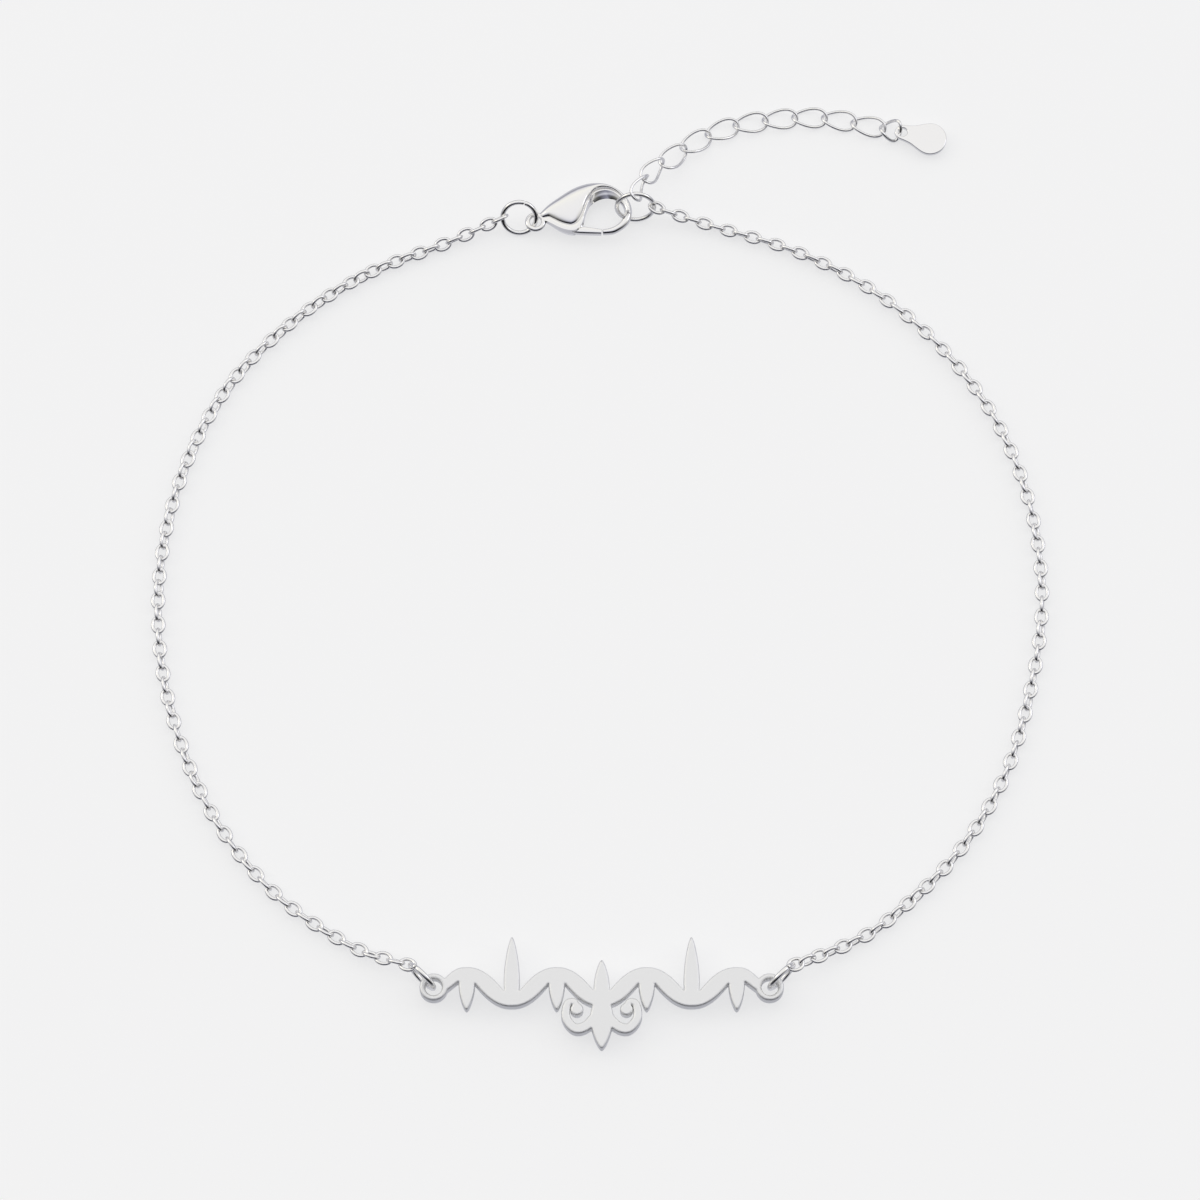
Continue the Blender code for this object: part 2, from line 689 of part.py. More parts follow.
def ring_on_floor(outer, wire, tilt):
    """Height of a ring's middle when it leans at a tilt with its lower side on the table."""
    return 0.5 * (outer - wire) * math.sin(tilt) + 0.5 * wire


def tilted(spot, tilt):
    return Matrix.Translation(spot) @ Matrix.Rotation(tilt, 4, "X")


def plate_ring(name, sign, lift_to):
    """An upright ring through the plate's eye. Returns where the chain holds it."""
    radius = 0.5 * (PLATE_RING_OUTER - PLATE_RING_WIRE)
    outward = Vector((sign * math.cos(PLATE_RING_TURN), math.sin(PLATE_RING_TURN), 0.0))
    eye = Vector((PLATE_AT[0] + sign * 0.5 * PLATE_LENGTH, PLATE_AT[1], lift_to))
    centre = eye + radius * outward
    turn = math.atan2(outward.y, outward.x)
    place = Matrix.Translation(centre) @ Matrix.Rotation(turn, 4, "Z") @ Matrix.Rotation(
        0.5 * math.pi, 4, "X")
    jump_ring(name, place, PLATE_RING_OUTER, PLATE_RING_WIRE, PLATE_RING_CUT, POLISH)
    return centre + radius * outward


def plate_lift(ring_middle):
    """Lowest height at which the plate's rim clears the ring wire that passes under it."""
    inner = 0.5 * PLATE_RING_OUTER - PLATE_RING_WIRE
    rim = 0.5 * (PLATE_RING_OUTER - PLATE_RING_WIRE) - 0.5 * EYE_HOLE
    return ring_middle - math.sqrt(inner ** 2 - rim ** 2) + SEAT_GAP


def build():
    for spare in list(bpy.data.objects):
        bpy.data.objects.remove(spare, do_unlink=True)

    ring_middle = 0.5 * PLATE_RING_OUTER
    left_hold = plate_ring("plate_ring_left", -1, ring_middle)
    right_hold = plate_ring("plate_ring_right", 1, ring_middle)
    name_plate(plate_lift(ring_middle))

    clasp_height = ring_on_floor(CLASP_RING_OUTER, CLASP_RING_WIRE, CLASP_RING_TILT)
    clasp_middle = Vector((*CLASP_RING_AT, clasp_height))
    clasp_place = tilted(clasp_middle, CLASP_RING_TILT)
    jump_ring("clasp_ring", clasp_place, CLASP_RING_OUTER, CLASP_RING_WIRE, CLASP_RING_CUT, POLISH)
    clasp_radius = 0.5 * (CLASP_RING_OUTER - CLASP_RING_WIRE)
    eye = clasp_place @ Vector((
        clasp_radius * math.cos(CLASP_RING_EYE_ANGLE),
        clasp_radius * math.sin(CLASP_RING_EYE_ANGLE),
        0.0,
    ))

    end_height = ring_on_floor(END_RING_OUTER, END_RING_WIRE, END_RING_TILT)
    bar = clasp_point(*HOOK_BAR_SHARES)
    climb = math.asin((end_height - END_RING_BAR_DROP - eye.z) / bar.x)
    clasp_matrix = (Matrix.Translation(eye) @ Matrix.Rotation(CLASP_TURN, 4, "Z")
                    @ Matrix.Rotation(-climb, 4, "Y"))
    clasp_body(clasp_matrix)
    clasp_lever(clasp_matrix)

    held = clasp_matrix @ bar
    end_middle = Vector((
        held.x + END_RING_BAR_INSET,
        held.y + END_RING_BAR_DROP / math.tan(END_RING_TILT),
        end_height,
    ))
    end_place = tilted(end_middle, END_RING_TILT)
    jump_ring("end_ring", end_place, END_RING_OUTER, END_RING_WIRE, END_RING_CUT, POLISH)
    end_radius = 0.5 * (END_RING_OUTER - END_RING_WIRE)

    middle = 0.5 * CABLE_WIDTH
    clasp_hold = clasp_place @ Vector((-clasp_radius, 0.0, 0.0))
    left = Route(
        [(left_hold.x, left_hold.y)] + LEFT_ROUTE[::-1] + [(clasp_hold.x, clasp_hold.y)],
        middle, left_hold.z, clasp_hold.z, CABLE_RISE)
    cable_chain("chain_left", left, PLATE_RING_WIRE, CLASP_RING_WIRE, 0, CLASP_RING_TILT)
    end_hold = end_place @ Vector((end_radius, 0.0, 0.0))
    right = Route(
        [(right_hold.x, right_hold.y)] + RIGHT_ROUTE[::-1] + [(end_hold.x, end_hold.y)],
        middle, right_hold.z, end_hold.z, CABLE_RISE)
    chain_tube("chain_right", right)

    tag_place = tag_frame()
    tag_radius = 0.5 * (TAG_RING_OUTER - TAG_RING_WIRE)
    bm = bmesh.new()
    oval_link(bm, Matrix.Identity(4), tag_radius, tag_radius, TAG_RING_TWIST, TAG_RING_WIRE,
              CURB_STEPS, CURB_SIDES)
    finish(bm, "tag_ring", BRIGHT, POLISH, tag_place)
    extender_tag(tag_place)
    upper_hold = end_place @ Vector((0.0, end_radius, 0.0))
    near_hold = tag_place @ Vector((-tag_radius, 0.0, 0.0))
    curb_extender(upper_hold, END_RING_WIRE, near_hold, TAG_RING_WIRE)


build()
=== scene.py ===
# %% [markdown]
# # A fine silver bracelet, lying in its round
#
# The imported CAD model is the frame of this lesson: it says where every piece lies. Each step
# below takes one piece of the bracelet, says what it is on the real one, and makes it again at
# the fineness that a close look needs. All lengths are metres, and the table is z = 0.

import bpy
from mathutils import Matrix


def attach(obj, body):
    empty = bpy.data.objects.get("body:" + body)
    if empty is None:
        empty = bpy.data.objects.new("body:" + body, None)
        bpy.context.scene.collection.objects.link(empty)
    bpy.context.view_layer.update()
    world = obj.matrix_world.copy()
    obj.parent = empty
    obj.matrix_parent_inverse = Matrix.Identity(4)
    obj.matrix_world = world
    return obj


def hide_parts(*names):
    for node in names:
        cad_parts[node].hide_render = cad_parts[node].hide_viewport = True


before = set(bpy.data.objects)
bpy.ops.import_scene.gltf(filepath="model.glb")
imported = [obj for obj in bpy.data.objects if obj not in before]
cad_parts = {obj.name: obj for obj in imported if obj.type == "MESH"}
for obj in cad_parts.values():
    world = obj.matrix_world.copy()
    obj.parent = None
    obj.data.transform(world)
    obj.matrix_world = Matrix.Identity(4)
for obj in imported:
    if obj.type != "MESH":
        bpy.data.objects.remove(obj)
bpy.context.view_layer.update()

# %% Tools of the lesson
import math

import bmesh
import bpy
import numpy as np
from mathutils import Matrix, Vector

MM = 0.001
UP = Vector((0.0, 0.0, 1.0))

# %% [markdown]
# ## Colours and nodes
#
# A colour picked from a screen is coded in sRGB, while a shader wants linear light. One
# function turns the first into the second, so every colour below can be a plain hex value.
# One more function adds a node with its settings and links, which keeps a material to a few
# lines that read from the texture to the shader.

# %% Colour and node helpers
def linear(hex_colour):
    """An sRGB hex colour as the linear values that a shader takes."""
    channels = [int(hex_colour[index:index + 2], 16) / 255.0 for index in (1, 3, 5)]
    light = [c / 12.92 if c <= 0.04045 else ((c + 0.055) / 1.055) ** 2.4 for c in channels]
    return (*light, 1.0)


def add_node(tree, kind, settings=None, values=None, links=None):
    """Add a node, set its properties and socket values, and link its inputs."""
    node = tree.nodes.new(kind)
    for name, value in (settings or {}).items():
        setattr(node, name, value)
    for name, value in (values or {}).items():
        node.inputs[name].default_value = value
    for name, source in (links or {}).items():
        tree.links.new(source, node.inputs[name])
    return node


print("silver as linear light:", [round(value, 3) for value in linear("#F6F5F3")])

# %% [markdown]
# ## Silver and how its surface was made
#
# Everything here is sterling silver, so one metal carries every finish: metallic 1, a nearly
# white colour and the shader's own IOR. What differs is the last tool that touched the piece,
# but the plate's rounded edge is also painted a darker grey, as painted shade.
# Tumbling leaves the clasp a mirror with faint waves. The rings are polished too, but pliers
# and wear make them softer. A drawing die leaves the chain's wire bright and softer still, and
# a glass-bead blaster leaves the plate's face satin. Each finish is a noise at the size of its
# real marks, which moves the roughness and makes a relief of one or two thousandths of a
# millimetre.

# %% Silver finishes
def silver_finish(name, colour, roughness, spread, mark_mm, relief_mm):
    """Silver whose roughness varies by spread, with marks of a real size and depth."""
    material = bpy.data.materials.new(name)
    material.use_nodes = True
    tree = material.node_tree
    shader = tree.nodes["Principled BSDF"]
    shader.inputs["Base Color"].default_value = linear(colour)
    shader.inputs["Metallic"].default_value = 1.0
    place = add_node(tree, "ShaderNodeTexCoord")
    marks = add_node(
        tree, "ShaderNodeTexNoise",
        values={"Scale": 1.0 / (mark_mm * MM), "Detail": 4.0, "Roughness": 0.6},
        links={"Vector": place.outputs["Object"]})
    worn = add_node(
        tree, "ShaderNodeMapRange",
        values={"From Min": 0.3, "From Max": 0.7,
                "To Min": roughness - spread, "To Max": roughness + spread},
        links={"Value": marks.outputs["Fac"]})
    relief = add_node(
        tree, "ShaderNodeBump",
        values={"Strength": 1.0, "Distance": relief_mm * MM},
        links={"Height": marks.outputs["Fac"]})
    tree.links.new(worn.outputs["Result"], shader.inputs["Roughness"])
    tree.links.new(relief.outputs["Normal"], shader.inputs["Normal"])
    return material


# Jump rings: polished, then handled, with hairlines of about a tenth of a millimetre
polished_ring_silver = silver_finish("polished_ring_silver", "#F7F6F3", 0.20, 0.03, 0.12, 0.0006)
# Drawn chain wire: bright, slightly softer than the rings
drawn_chain_silver = silver_finish("drawn_chain_silver", "#F8F7F5", 0.24, 0.05, 0.08, 0.0008)
# Cast and tumbled clasp: the brightest finish, with the long waves that tumbling leaves
cast_clasp_silver = silver_finish("cast_clasp_silver", "#F6F5F3", 0.09, 0.03, 0.45, 0.0015)
# Bead-blasted plate face: grains of 0.05 mm, drawn at 0.09 mm so that they show
satin_plate_silver = silver_finish("satin_plate_silver", "#F3F3F2", 0.53, 0.05, 0.09, 0.0018)
# The plate's rounded edge: polished by tumbling, and painted a darker grey as painted shade, which
# draws a dark line along the edge
painted_shade_edge_silver = silver_finish("painted_shade_edge_silver", "#E2E2E2", 0.14, 0.04, 0.10, 0.0010)
# Polished sheet of the drop
bright_sheet_silver = silver_finish("bright_sheet_silver", "#F7F6F4", 0.09, 0.03, 0.30, 0.0008)
print("silver finishes:", sum(m.name.endswith("_silver") for m in bpy.data.materials))

# %% [markdown]
# ### The sawn wall of the plate
#
# A saw blade or a laser goes straight through the sheet and leaves fine upright lines on the
# wall it cuts. Noise that is stretched along Z gives them: 0.06 mm apart round the outline and
# about ten times as long.

# %% Sawn wall
SAW_LINE_MM = 0.06
SAW_LINE_SQUEEZE = 0.1
sawn_wall_silver = silver_finish("sawn_wall_silver", "#EFEFEF", 0.30, 0.08, SAW_LINE_MM, 0.0025)
sawn_tree = sawn_wall_silver.node_tree
sawn_place = sawn_tree.nodes["Texture Coordinate"]
upright = add_node(
    sawn_tree, "ShaderNodeMapping", values={"Scale": (1.0, 1.0, SAW_LINE_SQUEEZE)},
    links={"Vector": sawn_place.outputs["Object"]})
sawn_tree.links.new(upright.outputs["Vector"], sawn_tree.nodes["Noise Texture"].inputs["Vector"])
print("sawn wall lines, mm apart:", SAW_LINE_MM)

# %% [markdown]
# ## Wire: one skin for every ring and link
#
# A link, a jump ring and the clasp's hook are all the same idea: a section carried along a
# path. A curve object with a bevel could do it, but it turns its section freely and can't
# change from round to flat on the way. So a small function lays a ring of corners at each
# point of the path, level with the table, and joins each ring to the next.

# %% Sweep a section along a path
def full_turn(steps):
    """Angles of one full turn in even steps."""
    return [2.0 * math.pi * step / steps for step in range(steps)]


def oval(width, thickness, sides, power=1.0):
    """The corners of an elliptical section, squarer where the power is below 1."""
    return [
        (0.5 * width * math.copysign(abs(math.cos(turn)) ** power, math.cos(turn)),
         0.5 * thickness * math.copysign(abs(math.sin(turn)) ** power, math.sin(turn)))
        for turn in full_turn(sides)]


def sweep(points, sections, closed):
    """Vertices and faces of a skin round a path, capped where the path is open."""
    vertices, faces = [], []
    count, sides = len(points), len(sections[0])
    for index, point in enumerate(points):
        ahead = points[(index + 1) % count] if closed or index < count - 1 else point
        behind = points[index - 1] if closed or index > 0 else point
        tangent = (ahead - behind).normalized()
        side = tangent.cross(UP).normalized()
        lift = side.cross(tangent)
        vertices += [point + a * side + b * lift for a, b in sections[index]]
    for index in range(count if closed else count - 1):
        first, second = index * sides, ((index + 1) % count) * sides
        for corner in range(sides):
            nearby = (corner + 1) % sides
            faces.append((first + corner, first + nearby, second + nearby, second + corner))
    if not closed:
        faces.append(tuple(range(sides)))
        faces.append(tuple(range((count - 1) * sides, count * sides))[::-1])
    return vertices, faces


def show(name, data):
    """Put an object with this data into the scene."""
    shown = bpy.data.objects.new(name, data)
    bpy.context.scene.collection.objects.link(shown)
    return shown


def make_piece(name, vertices, faces, material, sharp_degrees=40.0):
    """A smooth-shaded object from vertices and faces, its normals turned outward."""
    mesh = bpy.data.meshes.new(name)
    mesh.from_pydata([tuple(vertex) for vertex in vertices], [], faces)
    shell = bmesh.new()
    shell.from_mesh(mesh)
    bmesh.ops.recalc_face_normals(shell, faces=shell.faces)
    shell.to_mesh(mesh)
    shell.free()
    mesh.shade_smooth()
    mesh.set_sharp_from_angle(angle=math.radians(sharp_degrees))
    mesh.materials.append(material)
    return show(name, mesh)


def dress(piece, body, slot, *nodes):
    """Ride on a body and stand for CAD nodes, in one line. The slot is not used."""
    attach(piece, body)
    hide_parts(*nodes)
    print(piece.name, "stands for", ", ".join(nodes), "with", len(piece.data.polygons), "faces")


# %% [markdown]
# ## Where the chains run
#
# The chains lie on the table in a round and climb a little at their ends, where the rings hold
# them up. The route is a smooth level curve through chosen points, taken from the same places
# as the CAD model's, and its ends are lifted by a curve that starts flat. Asking it for a point
# by length, rather than by parameter, is what keeps the links evenly spaced.

# %% Routes
def smooth_rows(rows, steps):
    """Rows read from a smooth curve through the chosen ones."""
    start = [2.0 * a - b for a, b in zip(rows[0], rows[1])]
    end = [2.0 * a - b for a, b in zip(rows[-1], rows[-2])]
    padded = [start] + [list(row) for row in rows] + [end]
    result = []
    for index in range(1, len(padded) - 2):
        p0, p1, p2, p3 = padded[index - 1:index + 3]
        for step in range(steps):
            t = step / steps
            result.append([
                0.5 * (2.0 * b + (c - a) * t + (2.0 * a - 5.0 * b + 4.0 * c - d) * t ** 2
                       + (3.0 * b - 3.0 * c + d - a) * t ** 3)
                for a, b, c, d in zip(p0, p1, p2, p3)])
    result.append(list(rows[-1]))
    return result


def running_lengths(points):
    """How far along the path each point lies."""
    lengths = [0.0]
    for first, second in zip(points, points[1:]):
        lengths.append(lengths[-1] + (second - first).length)
    return lengths


class Route:
    """A smooth curve on the table with raised ends, read by its length."""

    def __init__(self, chosen, height, start_height, end_height, rise):
        level = [Vector(row) for row in smooth_rows(chosen, 12)]
        gone = running_lengths(level)
        self.points = []
        for point, distance in zip(level, gone):
            lifted = height
            for end, away in ((start_height, distance), (end_height, gone[-1] - distance)):
                lifted += (end - height) * (1.0 - min(away / rise, 1.0)) ** 2
            self.points.append(Vector((point.x, point.y, lifted)))
        self.lengths = running_lengths(self.points)
        self.total = self.lengths[-1]
        self.rise = rise

    def at(self, distance):
        """The point at a distance along the route."""
        index = 1
        while index < len(self.points) - 1 and self.lengths[index] < distance:
            index += 1
        first, second = self.points[index - 1], self.points[index]
        span = self.lengths[index] - self.lengths[index - 1]
        return first + (second - first) * ((distance - self.lengths[index - 1]) / span)

    def direction(self, distance, reach):
        """The way the route runs there, read over a reach to both sides."""
        return (self.at(distance + reach) - self.at(distance - reach)).normalized()


def link_place(spot, direction, roll):
    """Place a link along a direction, flat at no roll and on edge at a quarter turn."""
    across = UP.cross(direction).normalized()
    lift = direction.cross(across)
    side = math.cos(roll) * across + math.sin(roll) * lift
    normal = direction.cross(side)
    turned = Matrix((direction, side, normal)).transposed().to_4x4()
    return Matrix.Translation(spot) @ turned


# %% [markdown]
# ## Jump rings
#
# A jump ring is a length of round wire wound on a mandrel and sawn off, so it has a cut where
# its ends meet. A torus would hide that. The ring here is an open sweep that stops just short
# of closing, and its last sections shrink a little, because a saw cut is cleaned with a file.

# %% Ring sizes and places, the same as the CAD model's
PLATE_AT = (0.00012, -0.03255)
PLATE_LENGTH = 0.0238
PLATE_RING = dict(outer=0.0027, wire=0.00038, cut=math.radians(62.0))
PLATE_RING_TURN = math.radians(44.0)
CLASP_RING = dict(outer=0.0029, wire=0.00036, cut=math.radians(72.0))
CLASP_RING_AT = (-0.00608, 0.0274)
CLASP_RING_TILT = math.radians(50.0)
CLASP_RING_EYE_ANGLE = math.radians(-17.0)
END_RING = dict(outer=0.00316, wire=0.00034, cut=math.radians(20.0))
END_RING_TILT = math.radians(72.0)
RING_CUT = 0.00006
FILED = 0.00005
FILED_SHARE = 0.8


def ring_radius(ring):
    """The radius of the middle of a ring's wire."""
    return 0.5 * (ring["outer"] - ring["wire"])


def jump_ring(name, place, ring, steps=72, sides=20):
    """An open ring of wire whose filed ends meet at a fine cut."""
    radius = ring_radius(ring)
    opening, filed = RING_CUT / radius, FILED / radius
    start, end = ring["cut"] + 0.5 * opening, ring["cut"] + 2.0 * math.pi - 0.5 * opening
    inner = [start + filed + (end - start - 2.0 * filed) * k / steps for k in range(steps + 1)]
    angles = [start] + inner + [end]
    scales = [FILED_SHARE] + [1.0] * len(inner) + [FILED_SHARE]
    points = [Vector((radius * math.cos(a), radius * math.sin(a), 0.0)) for a in angles]
    sections = [oval(scale * ring["wire"], scale * ring["wire"], sides) for scale in scales]
    vertices, faces = sweep(points, sections, False)
    return make_piece(name, [place @ v for v in vertices], faces, polished_ring_silver)


# %% Rings through the plate's eyes
ring_middle = 0.5 * PLATE_RING["outer"]
holds = {}
for side_name, sign in (("left", -1), ("right", 1)):
    outward = Vector((sign * math.cos(PLATE_RING_TURN), math.sin(PLATE_RING_TURN), 0.0))
    eye = Vector((PLATE_AT[0] + sign * 0.5 * PLATE_LENGTH, PLATE_AT[1], ring_middle))
    centre = eye + ring_radius(PLATE_RING) * outward
    turn = Matrix.Rotation(math.atan2(outward.y, outward.x), 4, "Z")
    upright_turn = Matrix.Rotation(0.5 * math.pi, 4, "X")
    ring_place = Matrix.Translation(centre) @ turn @ upright_turn
    ring_piece = jump_ring("fine_plate_ring_" + side_name, ring_place, PLATE_RING)
    dress(ring_piece, "root", "ring_silver", "plate_ring_" + side_name)
    holds[side_name] = centre + ring_radius(PLATE_RING) * outward

# %% [markdown]
# ### The two rings at the clasp
#
# One ring carries the clasp, and the hook closes on the other. Each leans on the table at the
# tilt that the weight beside it gives it, with its lower side touching down. The clasp hangs
# between them, so its own tilt follows from the height of its eye and of its hook.

# %% Rings at the clasp
HOOK_LENGTH = 0.0072
HOOK_BAR = (0.977, -0.014)
CLASP_TURN = math.radians(7.2)
BAR_DROP = 0.00056
BAR_INSET = 0.00054


def leaning(spot_xy, ring, tilt):
    """A ring that leans at a tilt with its lower side on the table."""
    height = ring_radius(ring) * math.sin(tilt) + 0.5 * ring["wire"]
    return Matrix.Translation((*spot_xy, height)) @ Matrix.Rotation(tilt, 4, "X")


clasp_ring_place = leaning(CLASP_RING_AT, CLASP_RING, CLASP_RING_TILT)
on_ring = ring_radius(CLASP_RING)
clasp_eye_at = clasp_ring_place @ Vector((
    on_ring * math.cos(CLASP_RING_EYE_ANGLE), on_ring * math.sin(CLASP_RING_EYE_ANGLE), 0.0))
end_height = ring_radius(END_RING) * math.sin(END_RING_TILT) + 0.5 * END_RING["wire"]
hook_bar = Vector((HOOK_BAR[0] * HOOK_LENGTH, HOOK_BAR[1] * HOOK_LENGTH, 0.0))
climb = math.asin((end_height - BAR_DROP - clasp_eye_at.z) / hook_bar.x)
clasp_place = (Matrix.Translation(clasp_eye_at) @ Matrix.Rotation(CLASP_TURN, 4, "Z")
               @ Matrix.Rotation(-climb, 4, "Y"))
held = clasp_place @ hook_bar
end_ring_place = leaning(
    (held.x + BAR_INSET, held.y + BAR_DROP / math.tan(END_RING_TILT)), END_RING, END_RING_TILT)

clasp_ring = jump_ring("fine_clasp_ring", clasp_ring_place, CLASP_RING)
dress(clasp_ring, "root", "ring_silver", "clasp_ring")
end_ring = jump_ring("fine_end_ring", end_ring_place, END_RING)
dress(end_ring, "root", "ring_silver", "end_ring")
holds["clasp"] = clasp_ring_place @ Vector((-on_ring, 0.0, 0.0))
holds["end"] = end_ring_place @ Vector((ring_radius(END_RING), 0.0, 0.0))
holds["upper"] = end_ring_place @ Vector((0.0, ring_radius(END_RING), 0.0))
print("clasp climbs, degrees:", round(math.degrees(climb), 2))

# %% [markdown]
# ## Cable chain
#
# A cable chain is the plainest chain there is: oval links of round wire, each turned a quarter
# turn from the last, so it shows a link face-on and a link edge-on in turn. One link is modelled
# and copied along the route by a matrix each, because an array modifier can't keep the count,
# the spacing and the turns exact on a curve that climbs. No link of a chain that was dropped on
# a table stands quite on edge: each leans until it finds its balance, so the turned links lean
# some twenty degrees, each by its own amount, and the flat ones rock a little.

# %% Cable links
CABLE_WIRE = 0.00026
CABLE_PITCH = 0.00095
CABLE_WIDTH = 0.00108
CABLE_RISE = 0.0060
LINK_GAP = 0.00006
# Links that bear on each other pass this far into each other, so that no gap shows
LINK_BITE = 0.00002
CABLE_TOUCH = CABLE_WIRE - LINK_BITE
FLAT_ROCK = math.radians(6.0)
EDGE_ROLL = math.radians(69.0)
EDGE_ROCK = math.radians(13.0)
LEFT_ROUTE = [
    (-0.01172, 0.02550), (-0.01756, 0.02300), (-0.02297, 0.01917), (-0.02758, 0.01403),
    (-0.03065, 0.00761), (-0.03218, 0.00056), (-0.03212, -0.00668), (-0.03049, -0.01368),
    (-0.02752, -0.02010), (-0.02317, -0.02547), (-0.01770, -0.02929)]
RIGHT_ROUTE = [
    (0.00932, 0.02672), (0.01526, 0.02465), (0.02089, 0.02137), (0.02577, 0.01670),
    (0.02956, 0.01084), (0.03178, 0.00408), (0.03236, -0.00306), (0.03128, -0.01008),
    (0.02912, -0.01676), (0.02548, -0.02260), (0.02069, -0.02726), (0.01794, -0.02902)]


def oval_link(half_length, half_width, twist, wire, steps, sides):
    """Vertices and faces of one closed link at the origin, its length along X."""
    points = [
        Vector((half_length * math.cos(turn), half_width * math.sin(turn),
                twist * math.sin(2.0 * turn)))
        for turn in full_turn(steps)]
    return sweep(points, [oval(wire, wire, sides)] * steps, True)


def cable_chain(name, route, start_wire, end_wire, odd, end_twist, seed, steps=24, sides=12):
    """Interlocking links on a route, every second one turned up on its side."""
    chance = np.random.default_rng(seed)
    start_reach = 0.5 * (start_wire + CABLE_WIRE) + LINK_GAP
    end_reach = 0.5 * (end_wire + CABLE_WIRE) + LINK_GAP
    span = route.total - CABLE_TOUCH + start_reach + end_reach
    count = round(span / CABLE_PITCH)
    count += (count % 2) != odd
    pitch = span / count
    half_length = 0.5 * (pitch + CABLE_TOUCH)
    half_width = 0.5 * (CABLE_WIDTH - CABLE_WIRE)
    shape, skin = oval_link(half_length, half_width, 0.0, CABLE_WIRE, steps, sides)
    vertices, faces = [], []
    for index in range(count):
        distance = half_length - start_reach + index * pitch
        share = max(0.0, 1.0 - (route.total - distance) / (2.0 * route.rise))
        lean, rock = (EDGE_ROLL, EDGE_ROCK) if index % 2 else (0.0, FLAT_ROCK)
        roll = lean + rock * chance.uniform(-1.0, 1.0) + end_twist * share
        place = link_place(route.at(distance), route.direction(distance, 0.5 * pitch), roll)
        first = len(vertices)
        vertices += [place @ vertex for vertex in shape]
        faces += [tuple(first + corner for corner in face) for face in skin]
    print(name, "links:", count, "spacing, mm:", round(1000.0 * pitch, 3))
    return make_piece(name, vertices, faces, drawn_chain_silver, 60.0)


# %% Lay both chains
lying = 0.5 * CABLE_WIDTH
left_route = Route(
    [holds["left"].xy[:]] + LEFT_ROUTE[::-1] + [holds["clasp"].xy[:]],
    lying, holds["left"].z, holds["clasp"].z, CABLE_RISE)
left_chain = cable_chain(
    "fine_chain_left", left_route, PLATE_RING["wire"], CLASP_RING["wire"], 0, CLASP_RING_TILT,
    seed=4)
dress(left_chain, "root", "chain_silver", "chain_left")
right_route = Route(
    [holds["right"].xy[:]] + RIGHT_ROUTE[::-1] + [holds["end"].xy[:]],
    lying, holds["right"].z, holds["end"].z, CABLE_RISE)
right_chain = cable_chain(
    "fine_chain_right", right_route, PLATE_RING["wire"], END_RING["wire"], 1, 0.0, seed=9)
dress(right_chain, "root", "chain_silver", "chain_right")

# %% [markdown]
# ## Pierced plate
#
# The plate is one sheet of silver, a millimetre thick, pierced with a saw: a waved stem with
# leaves, and curls round a pendant leaf in the middle, between the two eyes that the rings go
# through. Each stroke is drawn as a middle line with a width. The strokes are joined as solids,
# because a boolean finds where outlines cross better than any hand-made list. Only the outline
# of the result is kept: it is spaced evenly, softened as tumbling softens a sawn edge, and
# filled again as a flat curve with a rounded rim.

# %% Strokes of the plate
PLATE_THICKNESS = 0.0010
PLATE_ROUNDING = 0.00016
EYE_OUTER = 0.0020
EYE_HOLE = 0.0012
STEM_HEIGHT = 0.0029
STEM_NARROW = 0.00075
STEM_WIDE = 0.00125
STEM_QUARTERS = 7
STEM_SWELL = 1.5
STEM_THINNING = 0.45
LEAF_UP = 0.0020
LEAF_TALL = 0.0037
LEAF_DOWN = 0.0017
LEAF_WIDTH = 0.00098
LEAF_BELLY = 0.8
LEAF_ROUNDING = 0.62
LEAF_FOOT = 0.42
DROP_REACH = 0.0045
DROP_WIDTH = 0.0014
CURL_WIDTH = 0.00072
CURL_BALL = 0.00092
STEM_BITE = 0.375
SEAT_GAP = 0.00006

plate_eye = 0.5 * PLATE_LENGTH
stem_half = plate_eye - STEM_BITE * EYE_OUTER
quarter = stem_half / STEM_QUARTERS
stem_rise = 0.5 * (STEM_HEIGHT - STEM_NARROW)


def stem_rows(steps=200):
    """The waved stem: broad where it climbs, narrow where it turns."""
    rows = []
    for step in range(steps + 1):
        x = stem_half * (2.0 * step / steps - 1.0)
        phase = 0.5 * math.pi * x / quarter
        width = STEM_NARROW + (STEM_WIDE - STEM_NARROW) * abs(math.sin(phase)) ** STEM_SWELL
        width *= 1.0 - STEM_THINNING * max(0.0, 1.0 - (stem_half - abs(x)) / EYE_HOLE)
        rows.append((x, -stem_rise * math.cos(phase), width))
    return rows


def leaf_rows(x, foot, tip, width, steps=24):
    """An upright leaf that swells above its foot and ends in a small round tip."""
    rows = []
    for step in range(steps + 1):
        share = math.sin(0.5 * math.pi * step / steps)
        body = abs(math.sin(math.pi * share ** LEAF_BELLY)) ** LEAF_ROUNDING
        swell = body + LEAF_FOOT * (1.0 - share) ** 2
        rows.append((x, foot + (tip - foot) * share, width * swell if step < steps else 0.0))
    return rows


def curl_rows(sign):
    """A tendril that leaves the foot of the middle leaf and rolls up beside it."""
    chosen = [
        (0.05, 0.00, 0.75), (0.30, -0.30, 0.95), (0.72, -0.52, 1.05), (1.20, -0.56, 1.00),
        (1.58, -0.34, 0.90), (1.52, -0.04, 0.75), (1.20, 0.00, 0.62), (1.10, -0.16, 0.45)]
    fall = DROP_REACH - stem_rise
    return [
        (sign * x * quarter, -stem_rise + y * fall, width * CURL_WIDTH)
        for x, y, width in smooth_rows(chosen, 8)]


def stroke_outline(rows):
    """The outline of a stroke from its middle line."""
    left, right = [], []
    for index, (x, y, width) in enumerate(rows):
        ahead, behind = rows[min(index + 1, len(rows) - 1)], rows[max(index - 1, 0)]
        direction = Vector((ahead[0] - behind[0], ahead[1] - behind[1])).normalized()
        normal = Vector((-direction.y, direction.x))
        if width < 1e-7:
            left.append(Vector((x, y)))
            continue
        left.append(Vector((x, y)) + 0.5 * width * normal)
        right.append(Vector((x, y)) - 0.5 * width * normal)
    return left + right[::-1]


